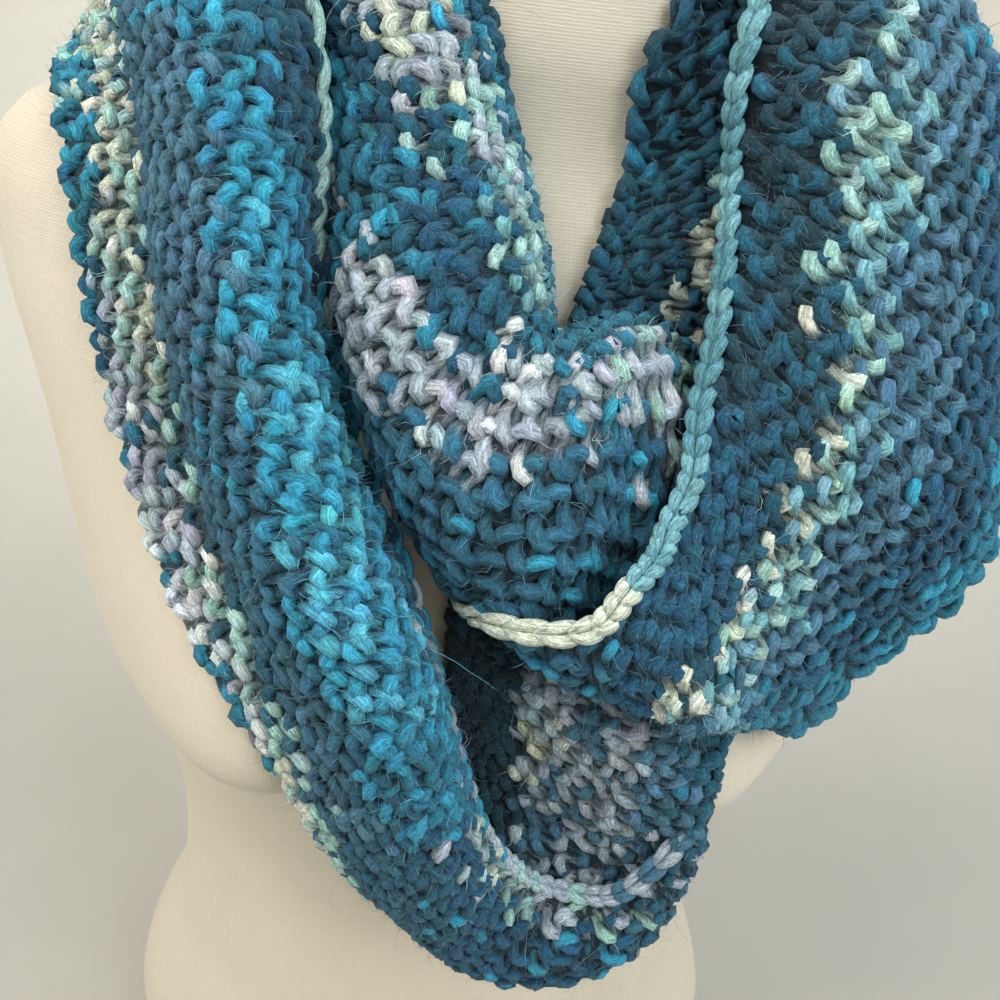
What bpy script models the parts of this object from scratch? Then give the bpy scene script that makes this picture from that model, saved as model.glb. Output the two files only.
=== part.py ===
"""A chunky hand-knitted infinity scarf, wound twice round a limbless dress form.

The scarf is one closed band, knitted in rows along its length, with a cast-on edge and a
bind-off chain edge. It goes round the neck twice: a long fall on the wearer's right that turns
below the bust and rises beside the neck, then a short drape that turns at the middle of the
chest and rises over the other shoulder. Each turn is a half twist.

The frame: millimetres in the tables, metres in the meshes, +Z up, the front towards -Y, and the
origin at the centre of the form's flat underside.
"""

import math

import bpy
import numpy as np

MM = 0.001

# The form: a padded, linen-covered torso without arms, cut flat below the hips
FORM_ROUNDNESS = 2.3
FORM_RING_POINTS = 48
FORM_RING_FINE = 960
FORM_RING_STEP = 20.0
FORM_SHOULDER_STEP = 6.0
FORM_SHOULDER_START = 495.0
BASE_EDGE_RADIUS = 4.0
NECK_EDGE_RADIUS = 6.0
FORM_SECTIONS = (
    # height, half width, front depth, back depth
    (0, 155, 100, 110),
    (65, 160, 108, 119),
    (143, 134, 94, 102),
    (204, 130, 84, 87),
    (275, 137, 93, 90),
    (333, 156, 102, 97),
    (380, 164, 99, 102),
    (428, 171, 90, 106),
    (475, 180, 75, 104),
    (504, 182, 63, 94),
    (524, 171, 53, 82),
    (538, 141, 49, 71),
    (551, 102, 49, 65),
    (562, 78, 51, 61),
    (576, 63, 51, 57),
    (598, 58, 51, 55),
    (627, 56, 51, 53),
)
BUST_ACROSS = 83.0
BUST_HEIGHT = 350.0
BUST_DEPTH = 44.0
BUST_WIDTH = 50.0
BUST_ABOVE = 66.0
BUST_BELOW = 36.0

# The band: a wall of thick wool, rounded at both long edges
WALL = 5.0
SEAM_GAP = 0.8
FORM_CLEARANCE = 2.3
ACROSS_STEPS = 13
SECTION_FINE = 160
LATTICE_ACROSS = 49
LATTICE_STEP = 3.5
SOFTEN_ALONG = 8.0
SOFTEN_ACROSS = 2.0
STATION_STEP = 12.5
RIM_SHARE = 0.7
PUSH_ROUNDS = 5

# The lengthwise fold of the long fall, where its outer strip turns flat on the form
CREASE_PLACE = 0.27
CREASE_WIDTH = 0.10
CREASE_DEPTH = 7.0
CREASE_FADE = 60.0

# Each stretch has its sections in order along the band. A section is four points across it:
# the cast-on edge, the inner third, the outer third and the chain edge, each (x, y, z).
LEFT_FALL = (
    ((-150, 6, 540), (-132, 6, 573), (-106, 6, 603), (-76, 4, 616)),
    ((-149, -14, 535), (-126, -30, 562), (-98, -46, 588), (-75, -36, 605)),
    ((-142, -36, 524), (-110, -67, 540), (-78, -94, 555), (-62, -68, 548)),
    ((-135, -54, 489), (-102, -88, 508), (-74, -112, 522), (-62, -80, 514)),
    ((-127, -65, 458), (-94, -103, 479), (-65, -128, 491), (-54, -91, 476)),
    ((-113, -82, 422), (-81, -121, 449), (-53, -142, 464), (-38, -105, 443)),
    ((-95, -105, 397), (-67, -138, 426), (-41, -153, 442), (-24, -120, 415)),
    ((-76, -127, 378), (-51, -151, 403), (-28, -160, 418), (-14, -129, 388)),
)
LOWER_TURN = (
    ((-55, -137, 347), (-37, -152, 356), (-16, -159, 379), (-4, -139, 362)),
    ((-44, -136, 321), (-26, -146, 311), (-4, -153, 340), (8, -137, 330)),
    ((-35, -125, 306), (-8, -137, 275), (9, -145, 306), (19, -136, 315)),
    ((-21, -115, 301), (21, -133, 245), (31, -138, 276), (32, -130, 299)),
    ((-12, -106, 313), (48, -135, 251), (61, -140, 276), (48, -133, 300)),
    ((-8, -111, 346), (45, -125, 290), (79, -136, 303), (63, -138, 317)),
    ((-8, -109, 372), (35, -114, 328), (80, -138, 335), (76, -138, 349)),
)
RIGHT_RISE = (
    ((-10, -102, 405), (19, -121, 384), (52, -138, 383), (75, -135, 381)),
    ((-3, -91, 437), (28, -104, 423), (60, -116, 411), (94, -109, 394)),
    ((7, -82, 466), (40, -86, 456), (74, -91, 442), (116, -83, 421)),
    ((17, -72, 488), (48, -76, 487), (81, -77, 479), (128, -69, 465)),
    ((24, -59, 515), (58, -66, 530), (96, -62, 524), (136, -50, 508)),
    ((30, -51, 541), (60, -56, 552), (98, -42, 550), (138, -28, 534)),
    ((30, -49, 576), (66, -38, 580), (100, -16, 566), (142, -4, 548)),
    ((51, -34, 595), (76, -20, 582), (106, -6, 565), (142, 2, 551)),
)
# Both wraps behind the neck are even, so only the half from the right shoulder is listed
INNER_NAPE_SIDE = (
    ((60, 0, 604), (80, 4, 582), (108, 6, 566), (140, 8, 550)),
    ((56, 24, 606), (80, 32, 572), (106, 46, 549), (134, 63, 522)),
    ((44, 42, 605), (68, 54, 553), (92, 77, 524), (118, 85, 494)),
    ((24, 54, 606), (36, 61, 560), (48, 87, 520), (60, 103, 482)),
)
INNER_NAPE_MIDDLE = (((0, 60, 606), (0, 65, 562), (0, 89, 520), (0, 108, 478)),)
INNER_DRAPE = (
    ((-60, 0, 604), (-78, 4, 580), (-104, 6, 561), (-134, 8, 547)),
    ((-51, -34, 595), (-66, -36, 584), (-86, -22, 567), (-118, -12, 552)),
    ((-20, -51, 576), (-40, -69, 574), (-59, -52, 561), (-85, -40, 548)),
    ((-12, -51, 554), (-30, -84, 543), (-53, -69, 538), (-71, -51, 528)),
    ((-2, -53, 529), (-16, -94, 531), (-44, -98, 516), (-58, -65, 505)),
    ((4, -63, 511), (-9, -104, 517), (-39, -112, 495), (-50, -77, 478)),
    ((8, -70, 498), (-6, -112, 503), (-29, -124, 475), (-39, -89, 455)),
    ((10, -78, 487), (5, -114, 496), (-14, -134, 454), (-24, -104, 429)),
    ((20, -80, 494), (19, -113, 499), (5, -139, 436), (-8, -119, 416)),
    ((25, -80, 496), (25, -111, 500), (11, -139, 418), (0, -137, 425)),
    ((30, -80, 498), (30, -109, 500), (17, -137, 406), (9, -148, 432)),
    ((39, -82, 499), (40, -106, 498), (31, -141, 402), (23, -154, 438)),
)
RIGHT_FALL = (
    ((52, -83, 492), (53, -107, 475), (48, -146, 402), (29, -152, 445)),
    ((67, -92, 468), (66, -116, 440), (60, -150, 401), (36, -147, 453)),
    ((82, -114, 422), (81, -138, 392), (69, -150, 407), (42, -140, 459)),
    ((92, -127, 393), (84, -142, 396), (68, -143, 426), (44, -135, 465)),
    ((99, -128, 379), (83, -141, 410), (65, -137, 442), (47, -132, 469)),
    ((124, -104, 381), (91, -125, 429), (67, -129, 459), (49, -125, 480)),
    ((143, -100, 403), (101, -122, 448), (72, -125, 476), (50, -116, 492)),
    ((160, -94, 421), (108, -120, 466), (77, -119, 490), (53, -107, 503)),
    ((166, -86, 445), (113, -114, 485), (80, -110, 506), (54, -97, 517)),
    ((167, -68, 471), (114, -102, 506), (80, -99, 525), (55, -85, 531)),
    ((169, -44, 495), (116, -88, 528), (81, -90, 545), (54, -77, 547)),
    ((169, -26, 517), (117, -75, 551), (82, -82, 564), (51, -75, 564)),
    ((174, -10, 524), (154, -10, 562), (118, -14, 594), (65, -34, 606)),
)
OUTER_NAPE = (
    ((176, 12, 526), (154, 12, 566), (120, 12, 596), (76, 8, 613)),
    ((166, 51, 500), (146, 46, 550), (116, 44, 583), (84, 38, 602)),
    ((144, 74, 468), (116, 97, 506), (90, 82, 542), (72, 64, 582)),
    ((74, 103, 448), (62, 114, 488), (50, 98, 530), (40, 81, 568)),
    ((0, 110, 438), (0, 120, 482), (0, 102, 526), (0, 86, 566)),
    ((-74, 103, 448), (-62, 114, 488), (-50, 99, 530), (-40, 81, 568)),
    ((-132, 83, 474), (-112, 98, 510), (-90, 79, 545), (-74, 64, 584)),
    ((-156, 60, 506), (-140, 44, 556), (-112, 42, 590), (-82, 36, 608)),
)

# Colours: linear RGB, and roughness
FINISHES = {
    "linen": ((0.78, 0.71, 0.58), 0.85),
    "deep_teal": ((0.018, 0.10, 0.14), 0.95),
    "turquoise": ((0.06, 0.30, 0.40), 0.95),
    "slate_blue": ((0.07, 0.13, 0.20), 0.95),
    "lavender_grey": ((0.36, 0.36, 0.42), 0.95),
}


def mirrored(sections):
    """The same sections on the other shoulder, in the order in which the band meets them."""
    return tuple(
        tuple((-x, y, z) for x, y, z in section) for section in reversed(sections)
    )


def stretches():
    """Each stretch of the closed band: its name, its finish and its sections, in order."""
    inner_nape = INNER_NAPE_SIDE + INNER_NAPE_MIDDLE + mirrored(INNER_NAPE_SIDE[1:])
    return (
        ("left_fall", "turquoise", LEFT_FALL),
        ("lower_turn", "deep_teal", LOWER_TURN),
        ("right_rise", "slate_blue", RIGHT_RISE),
        ("nape_inner", "slate_blue", inner_nape),
        ("inner_drape", "lavender_grey", INNER_DRAPE),
        ("right_fall", "deep_teal", RIGHT_FALL),
        ("nape_outer", "turquoise", OUTER_NAPE),
    )


def clear_scene():
    for obj in list(bpy.data.objects):
        bpy.data.objects.remove(obj, do_unlink=True)


def finish(name):
    """A plain material in the named colour."""
    colour, roughness = FINISHES[name]
    material = bpy.data.materials.new(name)
    material.use_nodes = True
    shader = material.node_tree.nodes["Principled BSDF"]
    shader.inputs["Base Color"].default_value = (*colour, 1.0)
    shader.inputs["Roughness"].default_value = roughness
    shader.inputs["Metallic"].default_value = 0.0
    return material


def add_object(name, points, faces, finish_name):
    """One closed mesh from points in millimetres."""
    mesh = bpy.data.meshes.new(name)
    mesh.from_pydata((np.asarray(points) * MM).tolist(), [], faces)
    mesh.validate()
    mesh.shade_smooth()
    mesh.set_sharp_from_angle(angle=math.radians(60))
    obj = bpy.data.objects.new(name, mesh)
    obj.data.materials.append(finish(finish_name))
    bpy.context.scene.collection.objects.link(obj)
    return obj


def steady_curve(knots, values, where):
    """A smooth curve through the values that never swings past them (monotone cubic)."""
    step = np.diff(knots)
    slope = np.diff(values) / step
    tangent = np.zeros(len(knots))
    before, after = slope[:-1], slope[1:]
    weight_before = 2 * step[1:] + step[:-1]
    weight_after = step[1:] + 2 * step[:-1]
    same_way = before * after > 0
    tangent[1:-1][same_way] = (weight_before + weight_after)[same_way] / (
        weight_before[same_way] / before[same_way]
        + weight_after[same_way] / after[same_way]
    )
    tangent[0], tangent[-1] = slope[0], slope[-1]
    where = np.clip(where, knots[0], knots[-1])
    cell = np.clip(np.searchsorted(knots, where, side="right") - 1, 0, len(step) - 1)
    width = step[cell]
    share = (where - knots[cell]) / width
    return (
        values[cell] * (1 + 2 * share) * (1 - share) ** 2
        + values[cell + 1] * (3 - 2 * share) * share**2
        + width * tangent[cell] * share * (1 - share) ** 2
        - width * tangent[cell + 1] * share**2 * (1 - share)
    )


def form_profile(heights):
    """Half width, front depth and back depth of the form at each height."""
    table = np.array(FORM_SECTIONS, float)
    return [
        steady_curve(table[:, 0], table[:, column], heights) for column in (1, 2, 3)
    ]


def bust(across, heights):
    """How far the bust stands out, at each place across and up the front."""
    reach = np.where(heights > BUST_HEIGHT, BUST_ABOVE, BUST_BELOW)
    rise = ((heights - BUST_HEIGHT) / reach) ** 2
    both = sum(
        np.exp(-(((across - side * BUST_ACROSS) / BUST_WIDTH) ** 2) - rise)
        for side in (-1, 1)
    )
    return BUST_DEPTH * both


def form_ring(height, inset=0.0):
    """The form's outline at one height, drawn in by inset, as even points from the front."""
    turn = np.linspace(-math.pi / 2, 3 * math.pi / 2, FORM_RING_FINE + 1)
    heights = np.full(len(turn), float(height))
    half_width, front, back = form_profile(heights)
    power = 2 / FORM_ROUNDNESS
    x = half_width * np.sign(np.cos(turn)) * np.abs(np.cos(turn)) ** power
    depth = np.where(np.sin(turn) < 0, front + bust(x, heights), back)
    y = depth * np.sign(np.sin(turn)) * np.abs(np.sin(turn)) ** power
    shrink = 1 - inset / np.hypot(x, y)
    fine = np.stack([x * shrink, y * shrink, heights], axis=-1)
    return evenly_spaced(fine, FORM_RING_POINTS + 1)[:-1]


def form_heights():
    top = FORM_SECTIONS[-1][0]
    low_count = round(FORM_SHOULDER_START / FORM_RING_STEP)
    low = np.linspace(BASE_EDGE_RADIUS, FORM_SHOULDER_START, low_count)
    high_count = round((top - FORM_SHOULDER_START) / FORM_SHOULDER_STEP)
    high = np.linspace(FORM_SHOULDER_START, top - NECK_EDGE_RADIUS, high_count)
    return np.concatenate([low, high[1:]])


def build_form():
    """The torso: stacked rings, with a rounded edge at the base and at the neck's flat top."""
    top = FORM_SECTIONS[-1][0]
    rings = [form_ring(0, BASE_EDGE_RADIUS)]
    rings += [form_ring(height) for height in form_heights()]
    rings.append(form_ring(top - NECK_EDGE_RADIUS * 0.3, NECK_EDGE_RADIUS * 0.3))
    rings.append(form_ring(top, NECK_EDGE_RADIUS))
    points = np.concatenate(rings)
    count = FORM_RING_POINTS
    faces = [tuple(reversed(range(count)))]
    for ring in range(len(rings) - 1):
        low = ring * count
        for k in range(count):
            after = (k + 1) % count
            faces.append((low + k, low + after, low + count + after, low + count + k))
    last = (len(rings) - 1) * count
    faces.append(tuple(range(last, last + count)))
    return add_object("dress_form", points, faces, "linen")


def form_level(points):
    """Below 1 inside the form, 1 on its surface and above 1 outside."""
    x, y, z = points[..., 0], points[..., 1], points[..., 2]
    half_width, front, back = form_profile(z)
    depth = np.where(y < 0, front + bust(x, z), back)
    n = FORM_ROUNDNESS
    return ((np.abs(x) / half_width) ** n + (np.abs(y) / depth) ** n) ** (1 / n)


def held_off_form(points, distance):
    """The points, with any that come nearer to the form than distance moved straight out."""
    step = 0.5
    for _ in range(PUSH_ROUNDS):
        level = form_level(points)
        slope = np.stack(
            [
                (form_level(points + move) - form_level(points - move)) / (2 * step)
                for move in np.eye(3) * step
            ],
            axis=-1,
        )
        steep = np.linalg.norm(slope, axis=-1)
        short = np.maximum(distance - (level - 1) / steep, 0)
        points = points + slope / steep[..., None] * short[..., None]
    return points


def natural_spline(knots, values, where):
    """A natural cubic spline through values, one row for each knot."""
    step = np.diff(knots)
    count = len(knots)
    system = np.eye(count)
    right = np.zeros((count, values.shape[1]))
    for k in range(1, count - 1):
        system[k, k - 1 : k + 2] = step[k - 1], 2 * (step[k - 1] + step[k]), step[k]
        right[k] = 6 * (
            (values[k + 1] - values[k]) / step[k] - (values[k] - values[k - 1]) / step[k - 1]
        )
    return spline_values(knots, values, np.linalg.solve(system, right), where)


def closed_spline(knots, values, where):
    """A smooth closed spline: knots has one more entry than values, the whole length round."""
    step = np.diff(knots)
    count = len(values)
    system = np.zeros((count, count))
    right = np.zeros((count, values.shape[1]))
    for k in range(count):
        before, after = (k - 1) % count, (k + 1) % count
        system[k, before] += step[before]
        system[k, k] += 2 * (step[before] + step[k])
        system[k, after] += step[k]
        right[k] = 6 * (
            (values[after] - values[k]) / step[k] - (values[k] - values[before]) / step[before]
        )
    bend = np.linalg.solve(system, right)
    values = np.concatenate([values, values[:1]])
    bend = np.concatenate([bend, bend[:1]])
    return spline_values(knots, values, bend, np.mod(where, knots[-1]))


def spline_values(knots, values, bend, where):
    """A cubic spline's values from its second derivatives at the knots."""
    cell = np.clip(np.searchsorted(knots, where, side="right") - 1, 0, len(knots) - 2)
    width = (knots[cell + 1] - knots[cell])[:, None]
    far = (where - knots[cell])[:, None] / width
    near = 1 - far
    return (
        near * values[cell]
        + far * values[cell + 1]
        + ((near**3 - near) * bend[cell] + (far**3 - far) * bend[cell + 1]) * width**2 / 6
    )


def along_length(points):
    """The distance from the first point to each point, along the line through them."""
    steps = np.linalg.norm(np.diff(points, axis=0), axis=1)
    return np.concatenate([[0.0], np.cumsum(steps)])


def evenly_spaced(points, count):
    """As many points as count, at even distances along the line through the given ones."""
    length = along_length(points)
    places = np.linspace(0, length[-1], count)
    return np.stack([np.interp(places, length, points[:, axis]) for axis in range(3)], axis=-1)


def across_band(section, count):
    """Evenly spaced points across one section, from the cast-on edge to the chain edge."""
    section = np.array(section, float)
    knots = along_length(section)
    fine = natural_spline(knots, section, np.linspace(0, knots[-1], SECTION_FINE))
    return evenly_spaced(fine, count)


def softened(lattice, spread, axis):
    """The lattice averaged along one axis over about spread steps, so that folds are round."""
    reach = math.ceil(2.5 * spread)
    steps = np.arange(-reach, reach + 1)
    weights = np.exp(-0.5 * (steps / spread) ** 2)
    weights /= weights.sum()
    if axis == 0:
        return sum(w * np.roll(lattice, -k, axis=0) for k, w in zip(steps, weights))
    # Turned over at each edge, which keeps the edges where they are
    first, last = lattice[:, :1], lattice[:, -1:]
    before = 2 * first - lattice[:, reach:0:-1]
    after = 2 * last - lattice[:, -2 : -2 - reach : -1]
    wide = np.concatenate([before, lattice, after], axis=1)
    count = lattice.shape[1]
    return sum(w * wide[:, reach + k : reach + k + count] for k, w in zip(steps, weights))


class Band:
    """The middle of the whole closed band, as a lattice of points along and across."""

    def __init__(self):
        self.starts = {}
        sections = []
        for name, _, rows in stretches():
            self.starts[name] = len(sections)
            sections += rows
        grid = np.array([across_band(section, LATTICE_ACROSS) for section in sections])
        closed = np.concatenate([grid, grid[:1]])
        gaps = np.linalg.norm(np.diff(closed, axis=0), axis=2).mean(axis=1)
        self.knots = np.concatenate([[0.0], np.cumsum(gaps)])
        self.length = self.knots[-1]
        count = round(self.length / LATTICE_STEP)
        self.step = self.length / count
        along = np.arange(count) * self.step
        flat = closed_spline(self.knots, grid.reshape(len(grid), -1), along)
        lattice = flat.reshape(count, LATTICE_ACROSS, 3)
        lattice = lattice - lattice_normals(lattice) * self.crease(along)[..., None]
        lattice = softened(softened(lattice, SOFTEN_ALONG / self.step, 0), SOFTEN_ACROSS, 1)
        self.lattice = held_off_form(lattice, WALL / 2 + FORM_CLEARANCE)
        self.normals = lattice_normals(self.lattice)

    def limits(self, name):
        """Where a stretch starts and ends along the band."""
        names = list(self.starts)
        after = names.index(name) + 1
        end = self.starts[names[after]] if after < len(names) else len(self.knots) - 1
        return self.knots[self.starts[name]], self.knots[end]

    def crease(self, along):
        """How deep the long fall's crease is, at each place along and across."""
        start, end = self.limits("left_fall")
        fade_in = np.clip((along - start) / CREASE_FADE, 0, 1)
        fade_out = np.clip((end - along) / CREASE_FADE, 0, 1)
        strength = np.minimum(fade_in, fade_out)
        offset = (np.linspace(0, 1, LATTICE_ACROSS) - CREASE_PLACE) / CREASE_WIDTH
        return CREASE_DEPTH * strength[:, None] * np.exp(-(offset**2))[None]

    def sample(self, lattice, along, count):
        """Values of a lattice at places along, and at evenly spaced places across."""
        place = np.mod(along / self.step, len(lattice))
        low = np.floor(place).astype(int)
        share = (place - low)[:, None, None]
        high = (low + 1) % len(lattice)
        rows = lattice[low % len(lattice)] * (1 - share) + lattice[high] * share
        column = np.linspace(0, LATTICE_ACROSS - 1, count)
        left = np.minimum(np.floor(column).astype(int), LATTICE_ACROSS - 2)
        share = (column - left)[None, :, None]
        return rows[:, left] * (1 - share) + rows[:, left + 1] * share


def lattice_normals(lattice):
    """Unit normals of the closed lattice, on the side away from the form on the long fall."""
    down = np.roll(lattice, -1, axis=0) - np.roll(lattice, 1, axis=0)
    over = np.gradient(lattice, axis=1)
    return outward(np.cross(down, over))


def build_stretch(band, name, finish_name):
    """One stretch of the band, as a closed wall with rounded long edges."""
    start, end = band.limits(name)
    stations = max(3, round((end - start) / STATION_STEP) + 1)
    along = np.linspace(start + SEAM_GAP / 2, end - SEAM_GAP / 2, stations)
    middle = band.sample(band.lattice, along, ACROSS_STEPS + 1)
    normals = outward(band.sample(band.normals, along, ACROSS_STEPS + 1))
    outer = middle + normals * WALL / 2
    inner = middle - normals * WALL / 2
    rim = WALL / 2 * RIM_SHARE
    cast_on = middle[:, 0] + rim * outward(middle[:, 0] - middle[:, 1])
    chain = middle[:, -1] + rim * outward(middle[:, -1] - middle[:, -2])
    loop = np.concatenate(
        [outer, chain[:, None], inner[:, ::-1], cast_on[:, None]], axis=1
    )
    size = loop.shape[1]
    faces = []
    for station in range(stations - 1):
        low = station * size
        for k in range(size):
            after = (k + 1) % size
            faces.append((low + k, low + size + k, low + size + after, low + after))
    faces += end_faces(0, size, False)
    faces += end_faces((stations - 1) * size, size, True)
    return add_object(name, loop.reshape(-1, 3), faces, finish_name)


def outward(direction):
    return direction / np.linalg.norm(direction, axis=-1, keepdims=True)


def end_faces(first, size, flipped):
    """The wall's end as triangles, split in the same way on both sides of a seam."""
    count = (size - 2) // 2
    faces = []
    for k in range(count - 1):
        a, b = first + k, first + k + 1
        c, d = first + size - 3 - k, first + size - 2 - k
        faces += [(a, b, c), (a, c, d)]
    faces.append((first + count - 1, first + count, first + count + 1))
    faces.append((first + size - 2, first + size - 1, first))
    return [tuple(reversed(face)) for face in faces] if flipped else faces


def main():
    clear_scene()
    build_form()
    band = Band()
    for name, finish_name, _ in stretches():
        build_stretch(band, name, finish_name)


main()
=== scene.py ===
"""The looks of a chunky hand-knitted infinity scarf on a linen-covered dress form.

Each stretch of the knitted band becomes loops of soft self-striping yarn round a thin backing,
with a cast-on edge of beads, a bind-off chain and fine hairs. Painted shade darkens the yarn
deep between the loops and colours the backing, and the hairs are drawn lighter as painted
highlights. A linen cover of the form's own shape, in finer steps, stands for its CAD solid.
Tables are in millimetres, as in the CAD source, and the meshes are in metres.
"""

import math

import bpy
import numpy as np
from mathutils import Matrix, Vector


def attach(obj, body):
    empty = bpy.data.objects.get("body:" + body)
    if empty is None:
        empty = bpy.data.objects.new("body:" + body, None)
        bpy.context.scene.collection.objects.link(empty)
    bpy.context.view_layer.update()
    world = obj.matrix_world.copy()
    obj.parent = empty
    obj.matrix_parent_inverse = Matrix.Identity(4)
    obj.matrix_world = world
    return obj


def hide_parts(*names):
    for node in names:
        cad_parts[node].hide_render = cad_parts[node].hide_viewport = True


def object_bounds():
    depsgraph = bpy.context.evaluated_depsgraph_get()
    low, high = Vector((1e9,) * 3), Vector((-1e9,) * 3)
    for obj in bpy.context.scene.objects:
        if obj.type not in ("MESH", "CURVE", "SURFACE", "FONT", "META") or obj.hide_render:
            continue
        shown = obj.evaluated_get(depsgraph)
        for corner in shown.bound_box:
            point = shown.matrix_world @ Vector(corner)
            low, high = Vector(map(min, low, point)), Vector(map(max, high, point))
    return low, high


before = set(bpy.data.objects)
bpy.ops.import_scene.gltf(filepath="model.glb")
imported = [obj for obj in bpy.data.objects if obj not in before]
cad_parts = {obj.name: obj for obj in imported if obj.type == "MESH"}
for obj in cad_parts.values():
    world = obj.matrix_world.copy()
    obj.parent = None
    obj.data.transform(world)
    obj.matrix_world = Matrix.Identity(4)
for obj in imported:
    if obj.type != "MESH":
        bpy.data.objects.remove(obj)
cad_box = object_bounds()

MM = 0.001
RANDOM = np.random.default_rng(11)

# The form, as in the CAD source
FORM_ROUNDNESS = 2.3
FORM_SECTIONS = (
    # height, half width, front depth, back depth
    (0, 155, 100, 110),
    (65, 160, 108, 119),
    (143, 134, 94, 102),
    (204, 130, 84, 87),
    (275, 137, 93, 90),
    (333, 156, 102, 97),
    (380, 164, 99, 102),
    (428, 171, 90, 106),
    (475, 180, 75, 104),
    (504, 182, 63, 94),
    (524, 171, 53, 82),
    (538, 141, 49, 71),
    (551, 102, 49, 65),
    (562, 78, 51, 61),
    (576, 63, 51, 57),
    (598, 58, 51, 55),
    (627, 56, 51, 53),
)
BUST_ACROSS = 83.0
BUST_HEIGHT = 350.0
BUST_DEPTH = 44.0
BUST_WIDTH = 50.0
BUST_ABOVE = 66.0
BUST_BELOW = 36.0
FORM_RIM = 3.0
RIM_STEPS = 5
FORM_LEVELS = 84
FORM_ROUND = 96

# The band, as in the CAD source
WALL = 5.0
FORM_CLEARANCE = 2.3
SECTION_FINE = 160
LATTICE_ACROSS = 49
LATTICE_STEP = 3.5
SOFTEN_ALONG = 8.0
SOFTEN_ACROSS = 2.0
PUSH_ROUNDS = 5
CREASE_PLACE = 0.27
CREASE_WIDTH = 0.10
CREASE_DEPTH = 7.0
CREASE_FADE = 60.0

# Four points across the band at each section: cast-on edge, thirds and chain edge
LEFT_FALL = (
    ((-150, 6, 540), (-132, 6, 573), (-106, 6, 603), (-76, 4, 616)),
    ((-149, -14, 535), (-126, -30, 562), (-98, -46, 588), (-75, -36, 605)),
    ((-142, -36, 524), (-110, -67, 540), (-78, -94, 555), (-62, -68, 548)),
    ((-135, -54, 489), (-102, -88, 508), (-74, -112, 522), (-62, -80, 514)),
    ((-127, -65, 458), (-94, -103, 479), (-65, -128, 491), (-54, -91, 476)),
    ((-113, -82, 422), (-81, -121, 449), (-53, -142, 464), (-38, -105, 443)),
    ((-95, -105, 397), (-67, -138, 426), (-41, -153, 442), (-24, -120, 415)),
    ((-76, -127, 378), (-51, -151, 403), (-28, -160, 418), (-14, -129, 388)),
)
LOWER_TURN = (
    ((-55, -137, 347), (-37, -152, 356), (-16, -159, 379), (-4, -139, 362)),
    ((-44, -136, 321), (-26, -146, 311), (-4, -153, 340), (8, -137, 330)),
    ((-35, -125, 306), (-8, -137, 275), (9, -145, 306), (19, -136, 315)),
    ((-21, -115, 301), (21, -133, 245), (31, -138, 276), (32, -130, 299)),
    ((-12, -106, 313), (48, -135, 251), (61, -140, 276), (48, -133, 300)),
    ((-8, -111, 346), (45, -125, 290), (79, -136, 303), (63, -138, 317)),
    ((-8, -109, 372), (35, -114, 328), (80, -138, 335), (76, -138, 349)),
)
RIGHT_RISE = (
    ((-10, -102, 405), (19, -121, 384), (52, -138, 383), (75, -135, 381)),
    ((-3, -91, 437), (28, -104, 423), (60, -116, 411), (94, -109, 394)),
    ((7, -82, 466), (40, -86, 456), (74, -91, 442), (116, -83, 421)),
    ((17, -72, 488), (48, -76, 487), (81, -77, 479), (128, -69, 465)),
    ((24, -59, 515), (58, -66, 530), (96, -62, 524), (136, -50, 508)),
    ((30, -51, 541), (60, -56, 552), (98, -42, 550), (138, -28, 534)),
    ((30, -49, 576), (66, -38, 580), (100, -16, 566), (142, -4, 548)),
    ((51, -34, 595), (76, -20, 582), (106, -6, 565), (142, 2, 551)),
)
INNER_NAPE_SIDE = (
    ((60, 0, 604), (80, 4, 582), (108, 6, 566), (140, 8, 550)),
    ((56, 24, 606), (80, 32, 572), (106, 46, 549), (134, 63, 522)),
    ((44, 42, 605), (68, 54, 553), (92, 77, 524), (118, 85, 494)),
    ((24, 54, 606), (36, 61, 560), (48, 87, 520), (60, 103, 482)),
)
INNER_NAPE_MIDDLE = (((0, 60, 606), (0, 65, 562), (0, 89, 520), (0, 108, 478)),)
INNER_DRAPE = (
    ((-60, 0, 604), (-78, 4, 580), (-104, 6, 561), (-134, 8, 547)),
    ((-51, -34, 595), (-66, -36, 584), (-86, -22, 567), (-118, -12, 552)),
    ((-20, -51, 576), (-40, -69, 574), (-59, -52, 561), (-85, -40, 548)),
    ((-12, -51, 554), (-30, -84, 543), (-53, -69, 538), (-71, -51, 528)),
    ((-2, -53, 529), (-16, -94, 531), (-44, -98, 516), (-58, -65, 505)),
    ((4, -63, 511), (-9, -104, 517), (-39, -112, 495), (-50, -77, 478)),
    ((8, -70, 498), (-6, -112, 503), (-29, -124, 475), (-39, -89, 455)),
    ((10, -78, 487), (5, -114, 496), (-14, -134, 454), (-24, -104, 429)),
    ((20, -80, 494), (19, -113, 499), (5, -139, 436), (-8, -119, 416)),
    ((25, -80, 496), (25, -111, 500), (11, -139, 418), (0, -137, 425)),
    ((30, -80, 498), (30, -109, 500), (17, -137, 406), (9, -148, 432)),
    ((39, -82, 499), (40, -106, 498), (31, -141, 402), (23, -154, 438)),
)
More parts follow.
